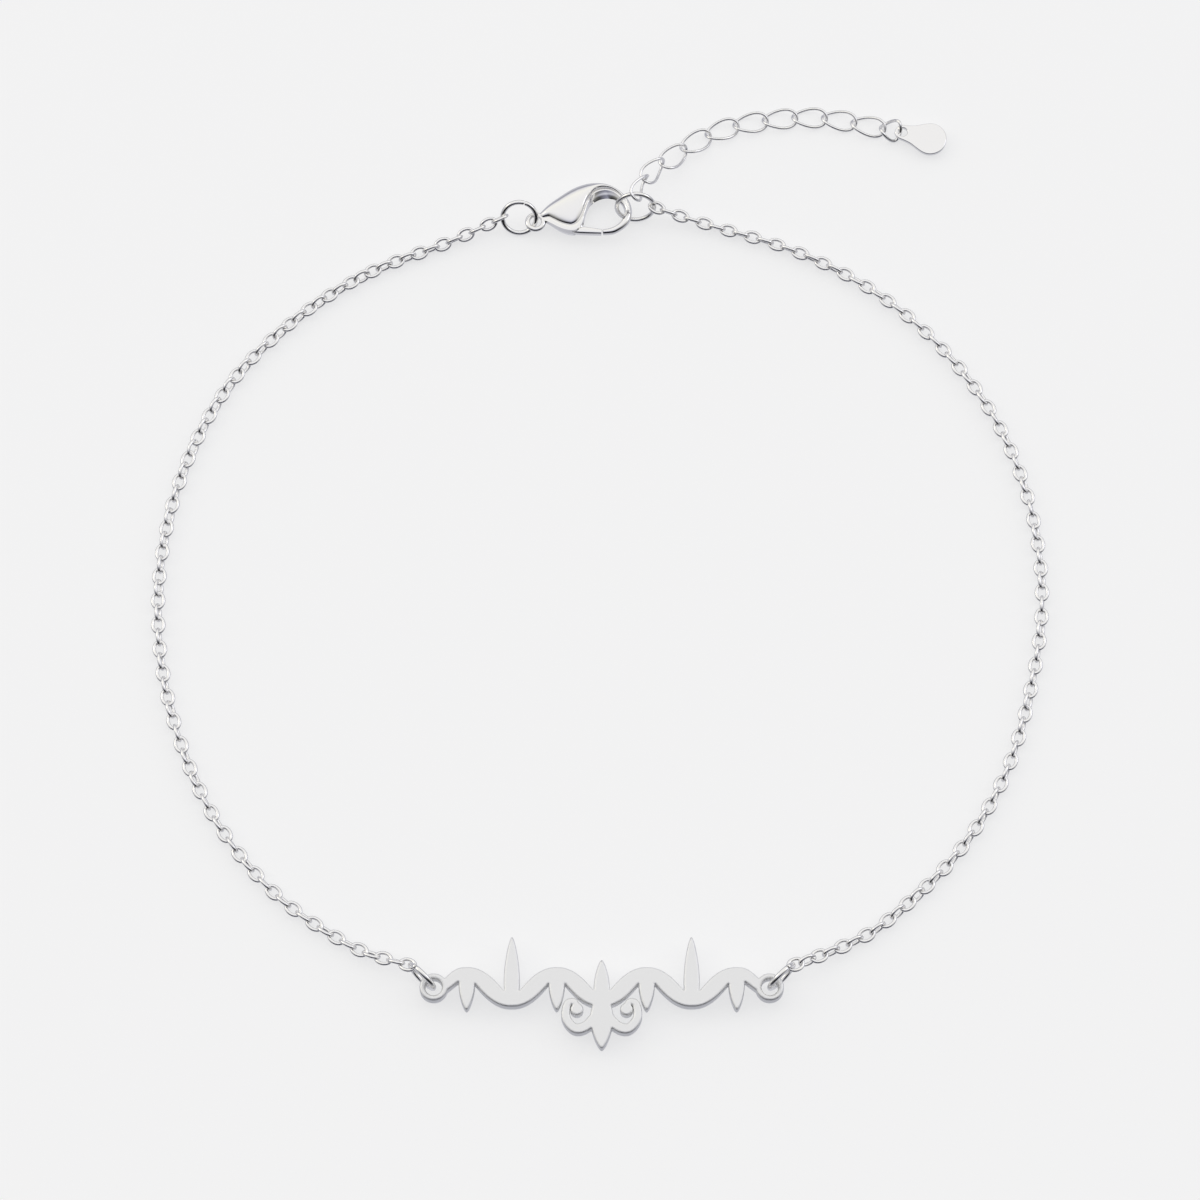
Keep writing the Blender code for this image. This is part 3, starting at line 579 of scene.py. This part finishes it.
def disc_outline(x, y, diameter, steps):
    """The outline of a round disc."""
    return [
        Vector((x + 0.5 * diameter * math.cos(turn), y + 0.5 * diameter * math.sin(turn)))
        for turn in full_turn(steps)]


# %% Solids and how they are joined
def sheet_solid(name, outline, bottom, top, material):
    """An outline given a thickness."""
    count = len(outline)
    vertices = [(p.x, p.y, bottom) for p in outline] + [(p.x, p.y, top) for p in outline]
    faces = [tuple(range(count))[::-1], tuple(range(count, 2 * count))]
    for index in range(count):
        nearby = (index + 1) % count
        faces.append((index, nearby, count + nearby, count + index))
    return make_piece(name, vertices, faces, material)


def combine(body, tool, operation):
    """Union or cut two solids, keep the result on the first and remove the second."""
    modifier = body.modifiers.new("Combine", "BOOLEAN")
    modifier.operation = operation
    modifier.solver = "EXACT"
    modifier.object = tool
    bpy.context.view_layer.update()
    depsgraph = bpy.context.evaluated_depsgraph_get()
    solid = bpy.data.meshes.new_from_object(body.evaluated_get(depsgraph))
    body.modifiers.clear()
    spare = body.data
    body.data = solid
    bpy.data.meshes.remove(spare)
    bpy.data.objects.remove(tool)


# %% Join the strokes
# Where each leaf stands, in quarters of a wave from the middle, and where its tip is
LEAVES = [(2, -LEAF_DOWN), (4, LEAF_TALL), (6, -LEAF_DOWN)]
BLANK_REACH, FIRST_REACH, REACH_STEP = 0.5, 0.6, 0.05

strokes = [disc_outline(sign * plate_eye, 0.0, EYE_OUTER, 64) for sign in (-1, 1)]
for sign in (-1, 1):
    for quarters, tip in LEAVES:
        foot = math.copysign(stem_rise, -tip)
        leaf = leaf_rows(sign * quarters * quarter, foot, tip, LEAF_WIDTH)
        strokes.append(stroke_outline(leaf))
    curl = curl_rows(sign)
    strokes.append(stroke_outline(curl))
    strokes.append(disc_outline(curl[-1][0], curl[-1][1], CURL_BALL, 40))
strokes.append(stroke_outline(leaf_rows(0.0, -stem_rise, LEAF_UP, LEAF_WIDTH)))
strokes.append(stroke_outline(leaf_rows(0.0, -stem_rise, -DROP_REACH, DROP_WIDTH)))

# Each stroke is a little taller than the last, so that no two share a face
blank = sheet_solid(
    "blank", stroke_outline(stem_rows()), -BLANK_REACH, BLANK_REACH, satin_plate_silver)
for index, stroke in enumerate(strokes):
    reach = FIRST_REACH + REACH_STEP * index
    combine(blank, sheet_solid("stroke", stroke, -reach, reach, satin_plate_silver), "UNION")
print("strokes joined:", len(strokes) + 1)

# %% Read the outline of the joined strokes at mid height
def outline_loops(solid):
    """The closed outlines where an upright solid crosses z = 0."""
    shell = bmesh.new()
    shell.from_mesh(solid.data)
    geometry = shell.verts[:] + shell.edges[:] + shell.faces[:]
    cut = bmesh.ops.bisect_plane(
        shell, geom=geometry, plane_co=(0.0, 0.0, 0.0), plane_no=(0.0, 0.0, 1.0))
    edges = [item for item in cut["geom_cut"] if isinstance(item, bmesh.types.BMEdge)]
    shell.verts.index_update()
    onward = {}
    for edge in edges:
        first, second = edge.verts
        onward.setdefault(first.index, []).append(second.index)
        onward.setdefault(second.index, []).append(first.index)
    places = {vert.index: Vector(vert.co.xy) for vert in shell.verts}
    shell.free()
    loops = []
    while onward:
        start = next(iter(onward))
        loop, current = [], start
        while current in onward:
            nearby = onward.pop(current)
            loop.append(places[current])
            following = [n for n in nearby if n in onward]
            if not following:
                break
            current = following[0]
        loops.append(loop)
    return loops


def even_loop(loop, spacing, softenings):
    """The same outline with evenly spaced points, its corners softened a little."""
    points = np.array([tuple(point) for point in loop])
    closed = np.vstack([points, points[:1]])
    lengths = np.concatenate([[0.0], np.cumsum(np.linalg.norm(np.diff(closed, axis=0), axis=1))])
    count = max(12, int(round(lengths[-1] / spacing)))
    places = np.linspace(0.0, lengths[-1], count, endpoint=False)
    even = np.stack([np.interp(places, lengths, closed[:, axis]) for axis in (0, 1)], axis=1)
    for _ in range(softenings):
        even = 0.5 * even + 0.25 * (np.roll(even, 1, axis=0) + np.roll(even, -1, axis=0))
    return even


OUTLINE_STEP = 0.00006
# A union can leave a sliver of a few points, which is no outline
SLIVER = 8
plate_loops = [
    even_loop(loop, OUTLINE_STEP, softenings=3)
    for loop in outline_loops(blank) if len(loop) > SLIVER]
bpy.data.objects.remove(blank)
print("outlines of the plate:", len(plate_loops), "points:", sum(map(len, plate_loops)))

# %% Fill the outlines with a rounded rim
WELD = 0.000002
LEVEL_FACE, UPRIGHT_FACE = 0.999, 0.05


def rounded_sheet(name, loops, middle, thickness, rounding, materials):
    """A sheet with rounded edges: faces, rim and wall each in their own finish."""
    curve = bpy.data.curves.new(name, "CURVE")
    curve.dimensions = "2D"
    curve.fill_mode = "BOTH"
    curve.extrude = 0.5 * thickness - rounding
    curve.bevel_depth = rounding
    curve.bevel_resolution = 3
    curve.offset = -rounding
    for loop in loops:
        spline = curve.splines.new("POLY")
        spline.points.add(len(loop) - 1)
        spline.use_cyclic_u = True
        for point, (x, y) in zip(spline.points, loop):
            point.co = (x, y, 0.0, 1.0)
    drawn = show(name, curve)
    bpy.context.view_layer.update()
    mesh = bpy.data.meshes.new_from_object(
        drawn.evaluated_get(bpy.context.evaluated_depsgraph_get()))
    bpy.data.objects.remove(drawn)
    shell = bmesh.new()
    shell.from_mesh(mesh)
    bmesh.ops.remove_doubles(shell, verts=shell.verts, dist=WELD)
    bmesh.ops.recalc_face_normals(shell, faces=shell.faces)
    bmesh.ops.translate(shell, verts=shell.verts, vec=middle)
    for face in shell.faces:
        tilt = abs(face.normal.z)
        face.material_index = 0 if tilt > LEVEL_FACE else 2 if tilt < UPRIGHT_FACE else 1
        face.smooth = True
    for edge in shell.edges:
        edge.smooth = len({face.material_index for face in edge.link_faces}) == 1
    shell.to_mesh(mesh)
    shell.free()
    mesh.materials.clear()
    for material in materials:
        mesh.materials.append(material)
    return show(name, mesh)


inner_reach = 0.5 * PLATE_RING["outer"] - PLATE_RING["wire"]
rim_reach = ring_radius(PLATE_RING) - 0.5 * EYE_HOLE
plate_bottom = ring_middle - math.sqrt(inner_reach ** 2 - rim_reach ** 2) + SEAT_GAP
plate_middle = Vector((PLATE_AT[0], PLATE_AT[1], plate_bottom + 0.5 * PLATE_THICKNESS))
for sign in (-1, 1):
    hole = disc_outline(sign * plate_eye, 0.0, EYE_HOLE, 60)
    plate_loops.append(np.array([tuple(point) for point in hole]))
# The rim's finish is painted a darker grey: painted shade along the plate's edge
plate = rounded_sheet(
    "fine_name_plate", plate_loops, plate_middle, PLATE_THICKNESS, PLATE_ROUNDING,
    [satin_plate_silver, painted_shade_edge_silver, sawn_wall_silver])
dress(plate, "root", "satin_plate", "name_plate")

# %% [markdown]
# ## Lobster clasp
#
# The clasp is cast in one piece: an eye, a teardrop body and a hook that comes round to meet
# its spring gate. Its body is not a bent bar of one section. It is domed from the outer edge to
# a crest, falls to a narrow flat rim that runs round the mouth like an S, and slopes from there
# to the inner edge. So each section is told by three points, on the outer edge, the rim and the
# inner edge, and by the height of its crest, and a skin is laid through all of them. Past the
# top of the hook the rim melts away, and the section goes over into round wire. The slot between
# the cheeks and the gate's pin are cut and added with booleans, as they would be in the master
# that the casting is made from.

# %% Clasp stations: outer edge, rim, inner edge (along, across) and height at the crest
HOOK_THICKNESS = 0.00172
HOOK_STATIONS = [
    (0.050, 0.088, 0.075, -0.012, 0.077, -0.018, 0.200),
    (0.075, 0.105, 0.092, -0.006, 0.095, -0.020, 0.330),
    (0.130, 0.152, 0.134, -0.030, 0.137, -0.045, 0.500),
    (0.190, 0.193, 0.181, -0.069, 0.185, -0.085, 0.650),
    (0.262, 0.234, 0.238, -0.115, 0.242, -0.132, 0.780),
    (0.340, 0.277, 0.295, -0.149, 0.300, -0.166, 0.880),
    (0.410, 0.312, 0.355, -0.170, 0.362, -0.188, 0.950),
    (0.465, 0.332, 0.407, -0.171, 0.420, -0.188, 1.000),
    (0.510, 0.345, 0.443, -0.149, 0.458, -0.160, 1.000),
    (0.548, 0.352, 0.477, -0.106, 0.491, -0.110, 1.000),
    (0.582, 0.356, 0.500, -0.055, 0.511, -0.054, 0.985),
    (0.614, 0.357, 0.519, 0.000, 0.530, 0.004, 0.960),
    (0.645, 0.356, 0.541, 0.051, 0.557, 0.058, 0.930),
    (0.676, 0.353, 0.567, 0.109, 0.590, 0.102, 0.890),
    (0.708, 0.347, 0.598, 0.168, 0.638, 0.139, 0.840),
    (0.748, 0.337, 0.643, 0.214, 0.688, 0.161, 0.780),
    (0.793, 0.320, 0.704, 0.242, 0.742, 0.170, 0.720),
    (0.850, 0.288, 0.775, 0.247, 0.795, 0.166, 0.650),
    (0.905, 0.245, 0.842, 0.224, 0.845, 0.146, 0.580),
    (0.955, 0.190, 0.896, 0.174, 0.889, 0.112, 0.520),
    (0.993, 0.130, 0.938, 0.108, 0.920, 0.072, 0.470),
    (1.014, 0.066, 0.958, 0.036, 0.935, 0.027, 0.440),
    (1.018, 0.000, 0.962, -0.014, 0.936, -0.018, 0.430),
    (1.006, -0.068, 0.950, -0.064, 0.922, -0.060, 0.430),
    (0.975, -0.134, 0.922, -0.112, 0.895, -0.100, 0.425),
    (0.928, -0.180, 0.884, -0.152, 0.858, -0.134, 0.420),
    (0.865, -0.217, 0.832, -0.186, 0.812, -0.160, 0.410),
    (0.790, -0.243, 0.770, -0.208, 0.756, -0.176, 0.400),
    (0.684, -0.240, 0.684, -0.211, 0.684, -0.182, 0.380)]
CREST_AT = 0.40
DOME_POWER = 1.85
VALLEY, RIM_TOP, RIM_EDGE = 0.50, 0.62, 0.60
# Shares of the rim's width, and the height there
RIM_SHAPE = [(0.20, 0.5 * (VALLEY + RIM_TOP)), (0.45, RIM_TOP), (0.75, RIM_TOP), (1.0, RIM_EDGE)]
RIM_MOST = 0.34
# The rim is broader along the S, between these two stations
RIM_WIDTH, RIM_SWELL = 0.00050, 0.00034
RIM_SWELLS = (6, 16)
# Between these two it runs out into the round wire of the hook
RIM_FADES = (17, 22)
WIRE_CREST = 0.92
TIP_SHRINK = 0.86
# From the rim down to the inner edge, a little flatter half way
INNER_SLOPE = [
    (0.06, 0.92), (0.16, 0.82), (0.28, 0.69), (0.38, 0.605), (0.50, 0.515), (0.62, 0.39),
    (0.76, 0.24), (0.88, 0.12), (0.96, 0.04)]
GATE_WIDTH = 0.0006
GATE_THICKNESS = 0.00068
GATE_SQUARENESS = 0.7
GATE_STATIONS = [
    (0.400, -0.154, 0.850, 0.880), (0.445, -0.161, 0.967, 0.897), (0.490, -0.168, 1.000, 0.912),
    (0.540, -0.179, 0.950, 0.912), (0.600, -0.193, 0.850, 0.912), (0.670, -0.210, 0.710, 0.912)]
GATE_PIVOT = Vector((0.400 * HOOK_LENGTH, -0.132 * HOOK_LENGTH, 0.0))
GATE_ROOT = 0.00068
GATE_ROOT_THICKNESS = 0.00056
GATE_PIN = 0.00026
GATE_PIN_LENGTH = 0.00082
PIN_GAP = 0.00004
SLOT_GAP = 0.00006
SLOT_REACH = 0.0018
SLOT_FLARE = math.radians(9.1)
CLASP_EYE = 0.00158
CLASP_EYE_WIRE = 0.00038


# %% One section of the casting
def hook_profile(breadth, rim_width, climb_steps=8, fall_steps=10):
    """Shares of the way from the outer edge to the rim, and of the crest's height."""
    rim = min(rim_width / breadth, RIM_MOST)
    valley = 1.0 - rim
    profile = []
    for step in range(1, climb_steps + 1):
        turn = 0.5 * math.pi * step / climb_steps
        profile.append((CREST_AT * (1.0 - math.cos(turn)), math.sin(turn)))
    for step in range(1, fall_steps + 1):
        share = math.sin(0.5 * math.pi * step / fall_steps)
        way = CREST_AT + (valley - CREST_AT) * share
        fall = (1.0 - share ** DOME_POWER) ** (1.0 / DOME_POWER)
        profile.append((way, VALLEY + (1.0 - VALLEY) * fall))
    return profile + [(valley + share * rim, high) for share, high in RIM_SHAPE]


def hook_section(row, raised, rim_width, shrink):
    """Dome, rim and slope where raised is 1, round wire where it is 0, and the same below."""
    outer, rim, inner = [
        Vector((row[k] * HOOK_LENGTH, row[k + 1] * HOOK_LENGTH, 0.0)) for k in (0, 2, 4)]
    height = 0.5 * HOOK_THICKNESS * row[6]
    over, under = (rim - outer).length, (inner - rim).length
    places = [(outer.lerp(rim, way), way * over, share)
              for way, share in hook_profile(over, rim_width)]
    places += [(rim.lerp(inner, way), over + way * under, RIM_EDGE * share)
               for way, share in INNER_SLOPE]
    upper = []
    for point, gone, share in places:
        wire = WIRE_CREST * math.sqrt(max(1.0 - (2.0 * gone / (over + under) - 1.0) ** 2, 0.0))
        upper.append(point + height * (raised * share + (1.0 - raised) * wire) * UP)
    lower = [Vector((point.x, point.y, -point.z)) for point in upper]
    corners = [outer] + upper + [inner] + lower[::-1]
    middle = sum(corners, Vector()) / len(corners)
    return [middle.lerp(corner, shrink) for corner in corners]


def share_between(value, start, end):
    """How far a value has come from start to end, from 0 to 1."""
    return min(max((value - start) / (end - start), 0.0), 1.0)


def hook_casting(name, steps=6, end_rounding=0.00004):
    """A skin through the sections, its free end rounded a little."""
    rows = smooth_rows(HOOK_STATIONS, steps)
    tip, before = rows[-1], rows[-2]
    pull = end_rounding / (math.dist(tip[0:2], before[0:2]) * HOOK_LENGTH)
    rows.insert(-1, [a + (b - a) * pull for a, b in zip(tip, before)])
    stations = [index / steps for index in range(len(rows))]
    raised = [share_between(station, *RIM_FADES[::-1]) for station in stations]
    widths = [
        RIM_WIDTH + RIM_SWELL * math.sin(math.pi * share_between(station, *RIM_SWELLS))
        for station in stations]
    sections = [
        hook_section(row, high, wide, 1.0) for row, high, wide in zip(rows[:-1], raised, widths)]
    sections.append(hook_section(tip, 0.0, RIM_WIDTH, TIP_SHRINK))
    sides = len(sections[0])
    vertices = [corner for ring in sections for corner in ring]
    faces = [tuple(range(sides)), tuple(range(len(vertices) - sides, len(vertices)))[::-1]]
    for first in range(0, len(vertices) - sides, sides):
        for corner in range(sides):
            nearby = (corner + 1) % sides
            faces.append((first + corner, first + nearby,
                          first + sides + nearby, first + sides + corner))
    return make_piece(name, vertices, faces, cast_clasp_silver)


def gate_strip(name, steps=6):
    """The bent strip of the gate, a sweep that thins toward its ends."""
    rows = smooth_rows(GATE_STATIONS, steps)
    points = [Vector((row[0] * HOOK_LENGTH, row[1] * HOOK_LENGTH, 0.0)) for row in rows]
    sections = [
        oval(wide * GATE_WIDTH, thick * GATE_THICKNESS, 36, GATE_SQUARENESS)
        for _, _, wide, thick in rows]
    vertices, faces = sweep(points, sections, False)
    return make_piece(name, vertices, faces, cast_clasp_silver)


def round_solid(name, centre, diameter, thickness, steps=40):
    """An upright round solid, half above and half below mid height."""
    outline = disc_outline(centre.x, centre.y, diameter, steps)
    return sheet_solid(name, outline, -0.5 * thickness, 0.5 * thickness, cast_clasp_silver)


def gate_slot():
    """The room that the gate's root needs between the cheeks, closed and open."""
    pivot = GATE_PIVOT
    slot = GATE_ROOT_THICKNESS + 2.0 * SLOT_GAP
    floor, far = pivot.y - SLOT_REACH, pivot.x + SLOT_REACH
    tangent = 0.5 * GATE_ROOT + SLOT_GAP
    opened = pivot.y + tangent + SLOT_REACH * math.tan(SLOT_FLARE)
    outline = [
        Vector((pivot.x - SLOT_GAP, floor)), Vector((far, floor)), Vector((far, opened)),
        Vector((pivot.x, pivot.y + tangent)), Vector((pivot.x - SLOT_GAP, pivot.y))]
    cutter = sheet_solid("slot", outline, -0.5 * slot, 0.5 * slot, cast_clasp_silver)
    combine(cutter, round_solid("slot_root", pivot, 2.0 * tangent, slot), "UNION")
    return cutter


# %% Cast the clasp's body
clasp = hook_casting("fine_clasp_body")
combine(clasp, gate_slot(), "DIFFERENCE")
combine(clasp, round_solid("pin", GATE_PIVOT, GATE_PIN, GATE_PIN_LENGTH, steps=24), "UNION")
eye_radius = 0.5 * (CLASP_EYE - CLASP_EYE_WIRE)
eye_shape, eye_skin = oval_link(
    eye_radius, eye_radius, 0.0, CLASP_EYE_WIRE, steps=64, sides=24)
combine(clasp, make_piece("eye", eye_shape, eye_skin, cast_clasp_silver), "UNION")
clasp.data.transform(clasp_place)
dress(clasp, "root", "clasp_silver", "clasp_body")

# %% Make the gate
gate = gate_strip("fine_clasp_lever")
combine(gate, round_solid("root", GATE_PIVOT, GATE_ROOT, GATE_ROOT_THICKNESS), "UNION")
bore = round_solid(
    "bore", GATE_PIVOT, GATE_PIN + 2.0 * PIN_GAP, 2.0 * GATE_ROOT_THICKNESS, steps=32)
combine(gate, bore, "DIFFERENCE")
gate.data.transform(clasp_place)
dress(gate, "lever", "clasp_silver", "clasp_lever")

# %% [markdown]
# ## Curb extender and its drop
#
# The extender is a curb chain: each link is twisted a little, so that it lies flat and overlaps
# the next like a plait. Its first links hang from the end ring and lie down on the way to the
# table. The twist is a sine of twice the angle added to an oval, which lifts two opposite
# quarters of the link and lowers the other two.

# %% Curb links
CURB_WIRE = 0.00022
CURB_WIDTH = 0.00170
CURB_LINKS = 10
CURB_SLACK = 0.00013
CURB_TWIST_GAP = 0.00004
CURB_TWIST = CURB_WIRE + CURB_TWIST_GAP
CURB_LOOK = 0.4
CURB_FALL = 0.0095
CURB_FIRST_ROLL = math.radians(80.0)
CURB_ROLL_LENGTH = 0.0083
CURB_ROUTE = [
    (0.094, 0.089), (0.203, 0.139), (0.310, 0.179), (0.422, 0.197), (0.530, 0.190),
    (0.638, 0.169), (0.743, 0.140), (0.847, 0.095), (0.945, 0.035)]
TAG_RING_AT = (0.02210, 0.03500)
TAG_RING_OUTER = 0.0018
TAG_RING_WIRE = 0.00025
TAG_RING_TWIST = 0.00045
TAG_TURN = math.radians(-15.0)

tag_height = 0.5 * TAG_RING_WIRE + TAG_RING_TWIST
tag_place = (Matrix.Translation((TAG_RING_AT[0], TAG_RING_AT[1], tag_height))
             @ Matrix.Rotation(TAG_TURN, 4, "Z"))
tag_radius = 0.5 * (TAG_RING_OUTER - TAG_RING_WIRE)
near_hold = tag_place @ Vector((-tag_radius, 0.0, 0.0))
curb_lying = 0.5 * CURB_WIRE + CURB_TWIST
curb_way = (near_hold - holds["upper"]).xy
curb_aside = Vector((-curb_way.y, curb_way.x))
curb_between = [(holds["upper"].xy + on * curb_way + off * curb_aside)[:] for on, off in CURB_ROUTE]
curb_route = Route(
    [holds["upper"].xy[:]] + curb_between + [near_hold.xy[:]],
    curb_lying, holds["upper"].z, curb_lying, CURB_FALL)
curb_start = 0.5 * (END_RING["wire"] + CURB_WIRE) + CURB_SLACK
curb_end = 0.5 * (TAG_RING_WIRE + CURB_WIRE) + CURB_SLACK
curb_touch = CURB_WIRE + CURB_SLACK
curb_pitch = (curb_route.total - curb_touch + curb_start + curb_end) / CURB_LINKS
curb_half = 0.5 * (curb_pitch + curb_touch)
curb_shape, curb_skin = oval_link(
    curb_half, 0.5 * (CURB_WIDTH - CURB_WIRE), CURB_TWIST, CURB_WIRE, steps=40, sides=14)
for index in range(CURB_LINKS):
    distance = curb_half - curb_start + index * curb_pitch
    roll = CURB_FIRST_ROLL * max(0.0, 1.0 - distance / CURB_ROLL_LENGTH)
    way = curb_route.direction(distance, CURB_LOOK * curb_pitch)
    place = link_place(curb_route.at(distance), way, roll)
    number = f"{index + 1:02d}"
    link = make_piece(
        "fine_extender_link_" + number, [place @ vertex for vertex in curb_shape], curb_skin,
        drawn_chain_silver, 60.0)
    dress(link, "root", "chain_silver", "extender_link_" + number)
print("extender spacing, mm:", round(1000.0 * curb_pitch, 3))

# %% Tag ring and drop
TAG_LENGTH = 0.0040
TAG_WIDTH = 0.0026
TAG_HOLE = 0.00072
TAG_PULL = 0.00018
TAG_HOLE_INSET = 0.00062
TAG_THICKNESS = 0.00034
TAG_ROUNDING = 0.00008
HOLE_STEP = 0.00005
# From the tip to the round end: shares of the length and of half the width
TAG_EDGE = [
    (0.0, 0.0), (0.03, 0.26), (0.10, 0.43), (0.22, 0.50), (0.35, 0.60), (0.48, 0.79),
    (0.60, 0.95), (0.71, 1.00), (0.82, 0.91), (0.92, 0.68), (0.98, 0.36), (1.0, 0.0)]

ring_shape, ring_skin = oval_link(
    tag_radius, tag_radius, TAG_RING_TWIST, TAG_RING_WIRE, steps=48, sides=16)
tag_ring = make_piece(
    "fine_tag_ring", [tag_place @ vertex for vertex in ring_shape], ring_skin,
    polished_ring_silver, 60.0)
dress(tag_ring, "root", "ring_silver", "tag_ring")


def drop_outline(hole_x, steps=10):
    """A small tip round the hole, hollow shoulders and a round end."""
    tip = hole_x - TAG_HOLE_INSET
    mirrored = [(along, -across) for along, across in TAG_EDGE[::-1]]
    rows = smooth_rows(TAG_EDGE + mirrored[1:] + TAG_EDGE[1:2], steps)
    return [
        Vector((tip + along * TAG_LENGTH, 0.5 * across * TAG_WIDTH))
        for along, across in rows[:-steps]]


tag_hole_at = tag_radius + TAG_PULL
tag_loops = [
    even_loop(drop_outline(tag_hole_at)[:-1], OUTLINE_STEP, softenings=2),
    even_loop(disc_outline(tag_hole_at, 0.0, TAG_HOLE, 48), HOLE_STEP, softenings=0)]
tag = rounded_sheet(
    "fine_extender_tag", tag_loops, Vector((0.0, 0.0, 0.0)), TAG_THICKNESS, TAG_ROUNDING,
    [bright_sheet_silver] * 3)
tag.data.transform(tag_place)
dress(tag, "root", "tag_silver", "extender_tag")

# %% [markdown]
# ## Table, light and camera
#
# Silver has hardly a colour of its own: it shows what stands round it. On a pale table under an
# evenly white tent it would vanish. The world here is a tent that is bright at the back and over
# the top, with a dark card low in front, which draws the thin dark line along each wire. It is
# pale grey below, where walls and undersides look. The table is left out of the reflections, as
# a sheet of glass would be, and it glows by itself, a painted light with no lamp under it that
# fills in the shadows cast on it, so it stays plain and pale.

# %% Table
# How strongly the table glows by itself: painted light, with no lamp below, that fills in the
# shadows cast on it
TABLE_PAINTED_GLOW = 0.62
half_table = 1.5
floor_mesh = bpy.data.meshes.new("table_top")
floor_mesh.from_pydata(
    [(-half_table, -half_table, 0.0), (half_table, -half_table, 0.0),
     (half_table, half_table, 0.0), (-half_table, half_table, 0.0)], [], [(0, 1, 2, 3)])
floor = show("table_top", floor_mesh)
pale_table = bpy.data.materials.new("pale_table")
pale_table.use_nodes = True
table_shader = pale_table.node_tree.nodes["Principled BSDF"]
# The emission is painted light that fills in the shadows cast on the table
table_look = {
    "Base Color": linear("#A0A0A0"), "Emission Color": linear("#FFFFFF"),
    "Emission Strength": TABLE_PAINTED_GLOW, "Roughness": 0.9, "Specular IOR Level": 0.0}
for socket, value in table_look.items():
    table_shader.inputs[socket].default_value = value
floor_mesh.materials.append(pale_table)
floor.visible_glossy = False

# %% Tent
world = bpy.data.worlds.new("light_tent")
bpy.context.scene.world = world
world.use_nodes = True
tent = world.node_tree
background = tent.nodes["Background"]
around = add_node(tent, "ShaderNodeTexCoord")
heading = add_node(tent, "ShaderNodeSeparateXYZ", links={"Vector": around.outputs["Generated"]})
level = add_node(
    tent, "ShaderNodeMapRange", values={"From Min": -1.0, "From Max": 1.0},
    links={"Value": heading.outputs["Z"]})
# 0 at the back and over the top, 1 toward the front
nearness = add_node(
    tent, "ShaderNodeMapRange", settings={"interpolation_type": "SMOOTHSTEP"},
    values={"From Min": 0.15, "From Max": -0.80}, links={"Value": heading.outputs["Y"]})


def bands(stops):
    """Colours by height: 0 is straight down, 0.5 the level of the table, 1 straight up."""
    node = add_node(tent, "ShaderNodeValToRGB", links={"Fac": level.outputs["Result"]})
    ramp = node.color_ramp
    while len(ramp.elements) < len(stops):
        ramp.elements.new(0.5)
    for element, (position, colour) in zip(ramp.elements, stops):
        element.position = position
        element.color = linear(colour)
    return node


back = bands([
    (0.00, "#CECFD6"), (0.38, "#C0C1CA"), (0.46, "#8E8F9A"), (0.52, "#ACADB8"),
    (0.60, "#E2E2E8"), (0.74, "#FDFCF7"), (1.00, "#F4F4F7")])
front = bands([
    (0.00, "#CECFD6"), (0.36, "#A6A7B0"), (0.45, "#232428"), (0.72, "#0E0F11"),
    (0.81, "#26272D"), (0.88, "#737588"), (0.94, "#B8BACB"), (1.00, "#ECEDF4")])
both = add_node(
    tent, "ShaderNodeMix", settings={"data_type": "RGBA"},
    links={"Factor": nearness.outputs["Result"]})
# The mix node's colour sockets go by number, as its other sockets have the same names
tent.links.new(back.outputs["Color"], both.inputs[6])
tent.links.new(front.outputs["Color"], both.inputs[7])
tent.links.new(both.outputs[2], background.inputs["Color"])
background.inputs["Strength"].default_value = 1.0

# %% Lamps
def softbox(name, place, size, watts, colour):
    """A square area lamp that faces the middle of the bracelet."""
    lamp = bpy.data.lights.new(name, "AREA")
    lamp.shape = "SQUARE"
    lamp.size = size
    lamp.energy = watts
    lamp.color = linear(colour)[:3]
    stand = show(name, lamp)
    stand.location = place
    stand.rotation_euler = (-Vector(place)).to_track_quat("-Z", "Y").to_euler()
    return stand


top_softbox = softbox("top_softbox", (-0.10, 0.30, 0.85), 0.60, 0.3, "#FFFFFF")
# Silver would show its square edge, so it lights the table only
top_softbox.visible_glossy = False
softbox("left_softbox", (-0.75, 0.25, 0.50), 0.35, 0.5, "#FFF8E4")
softbox("right_softbox", (0.75, 0.20, 0.45), 0.35, 0.4, "#E6E9FF")

# %% Camera at the photograph's angle
CAMERA_ELEVATION = math.radians(70.0)
CAMERA_DISTANCE = 0.330
CAMERA_LENS = 135.0
CAMERA_AIM = Vector((0.0, -0.00286, 0.0))
camera_data = bpy.data.cameras.new("camera")
camera_data.lens = CAMERA_LENS
camera_data.sensor_width = 36.0
camera_data.clip_start = 0.01
camera = show("camera", camera_data)
camera.location = CAMERA_AIM + CAMERA_DISTANCE * Vector(
    (0.0, -math.cos(CAMERA_ELEVATION), math.sin(CAMERA_ELEVATION)))
camera.rotation_euler = (CAMERA_AIM - camera.location).to_track_quat("-Z", "Y").to_euler()
bpy.context.scene.camera = camera
bpy.context.scene.view_settings.view_transform = "Standard"
print("camera at, mm:", [round(1000.0 * value, 1) for value in camera.location])
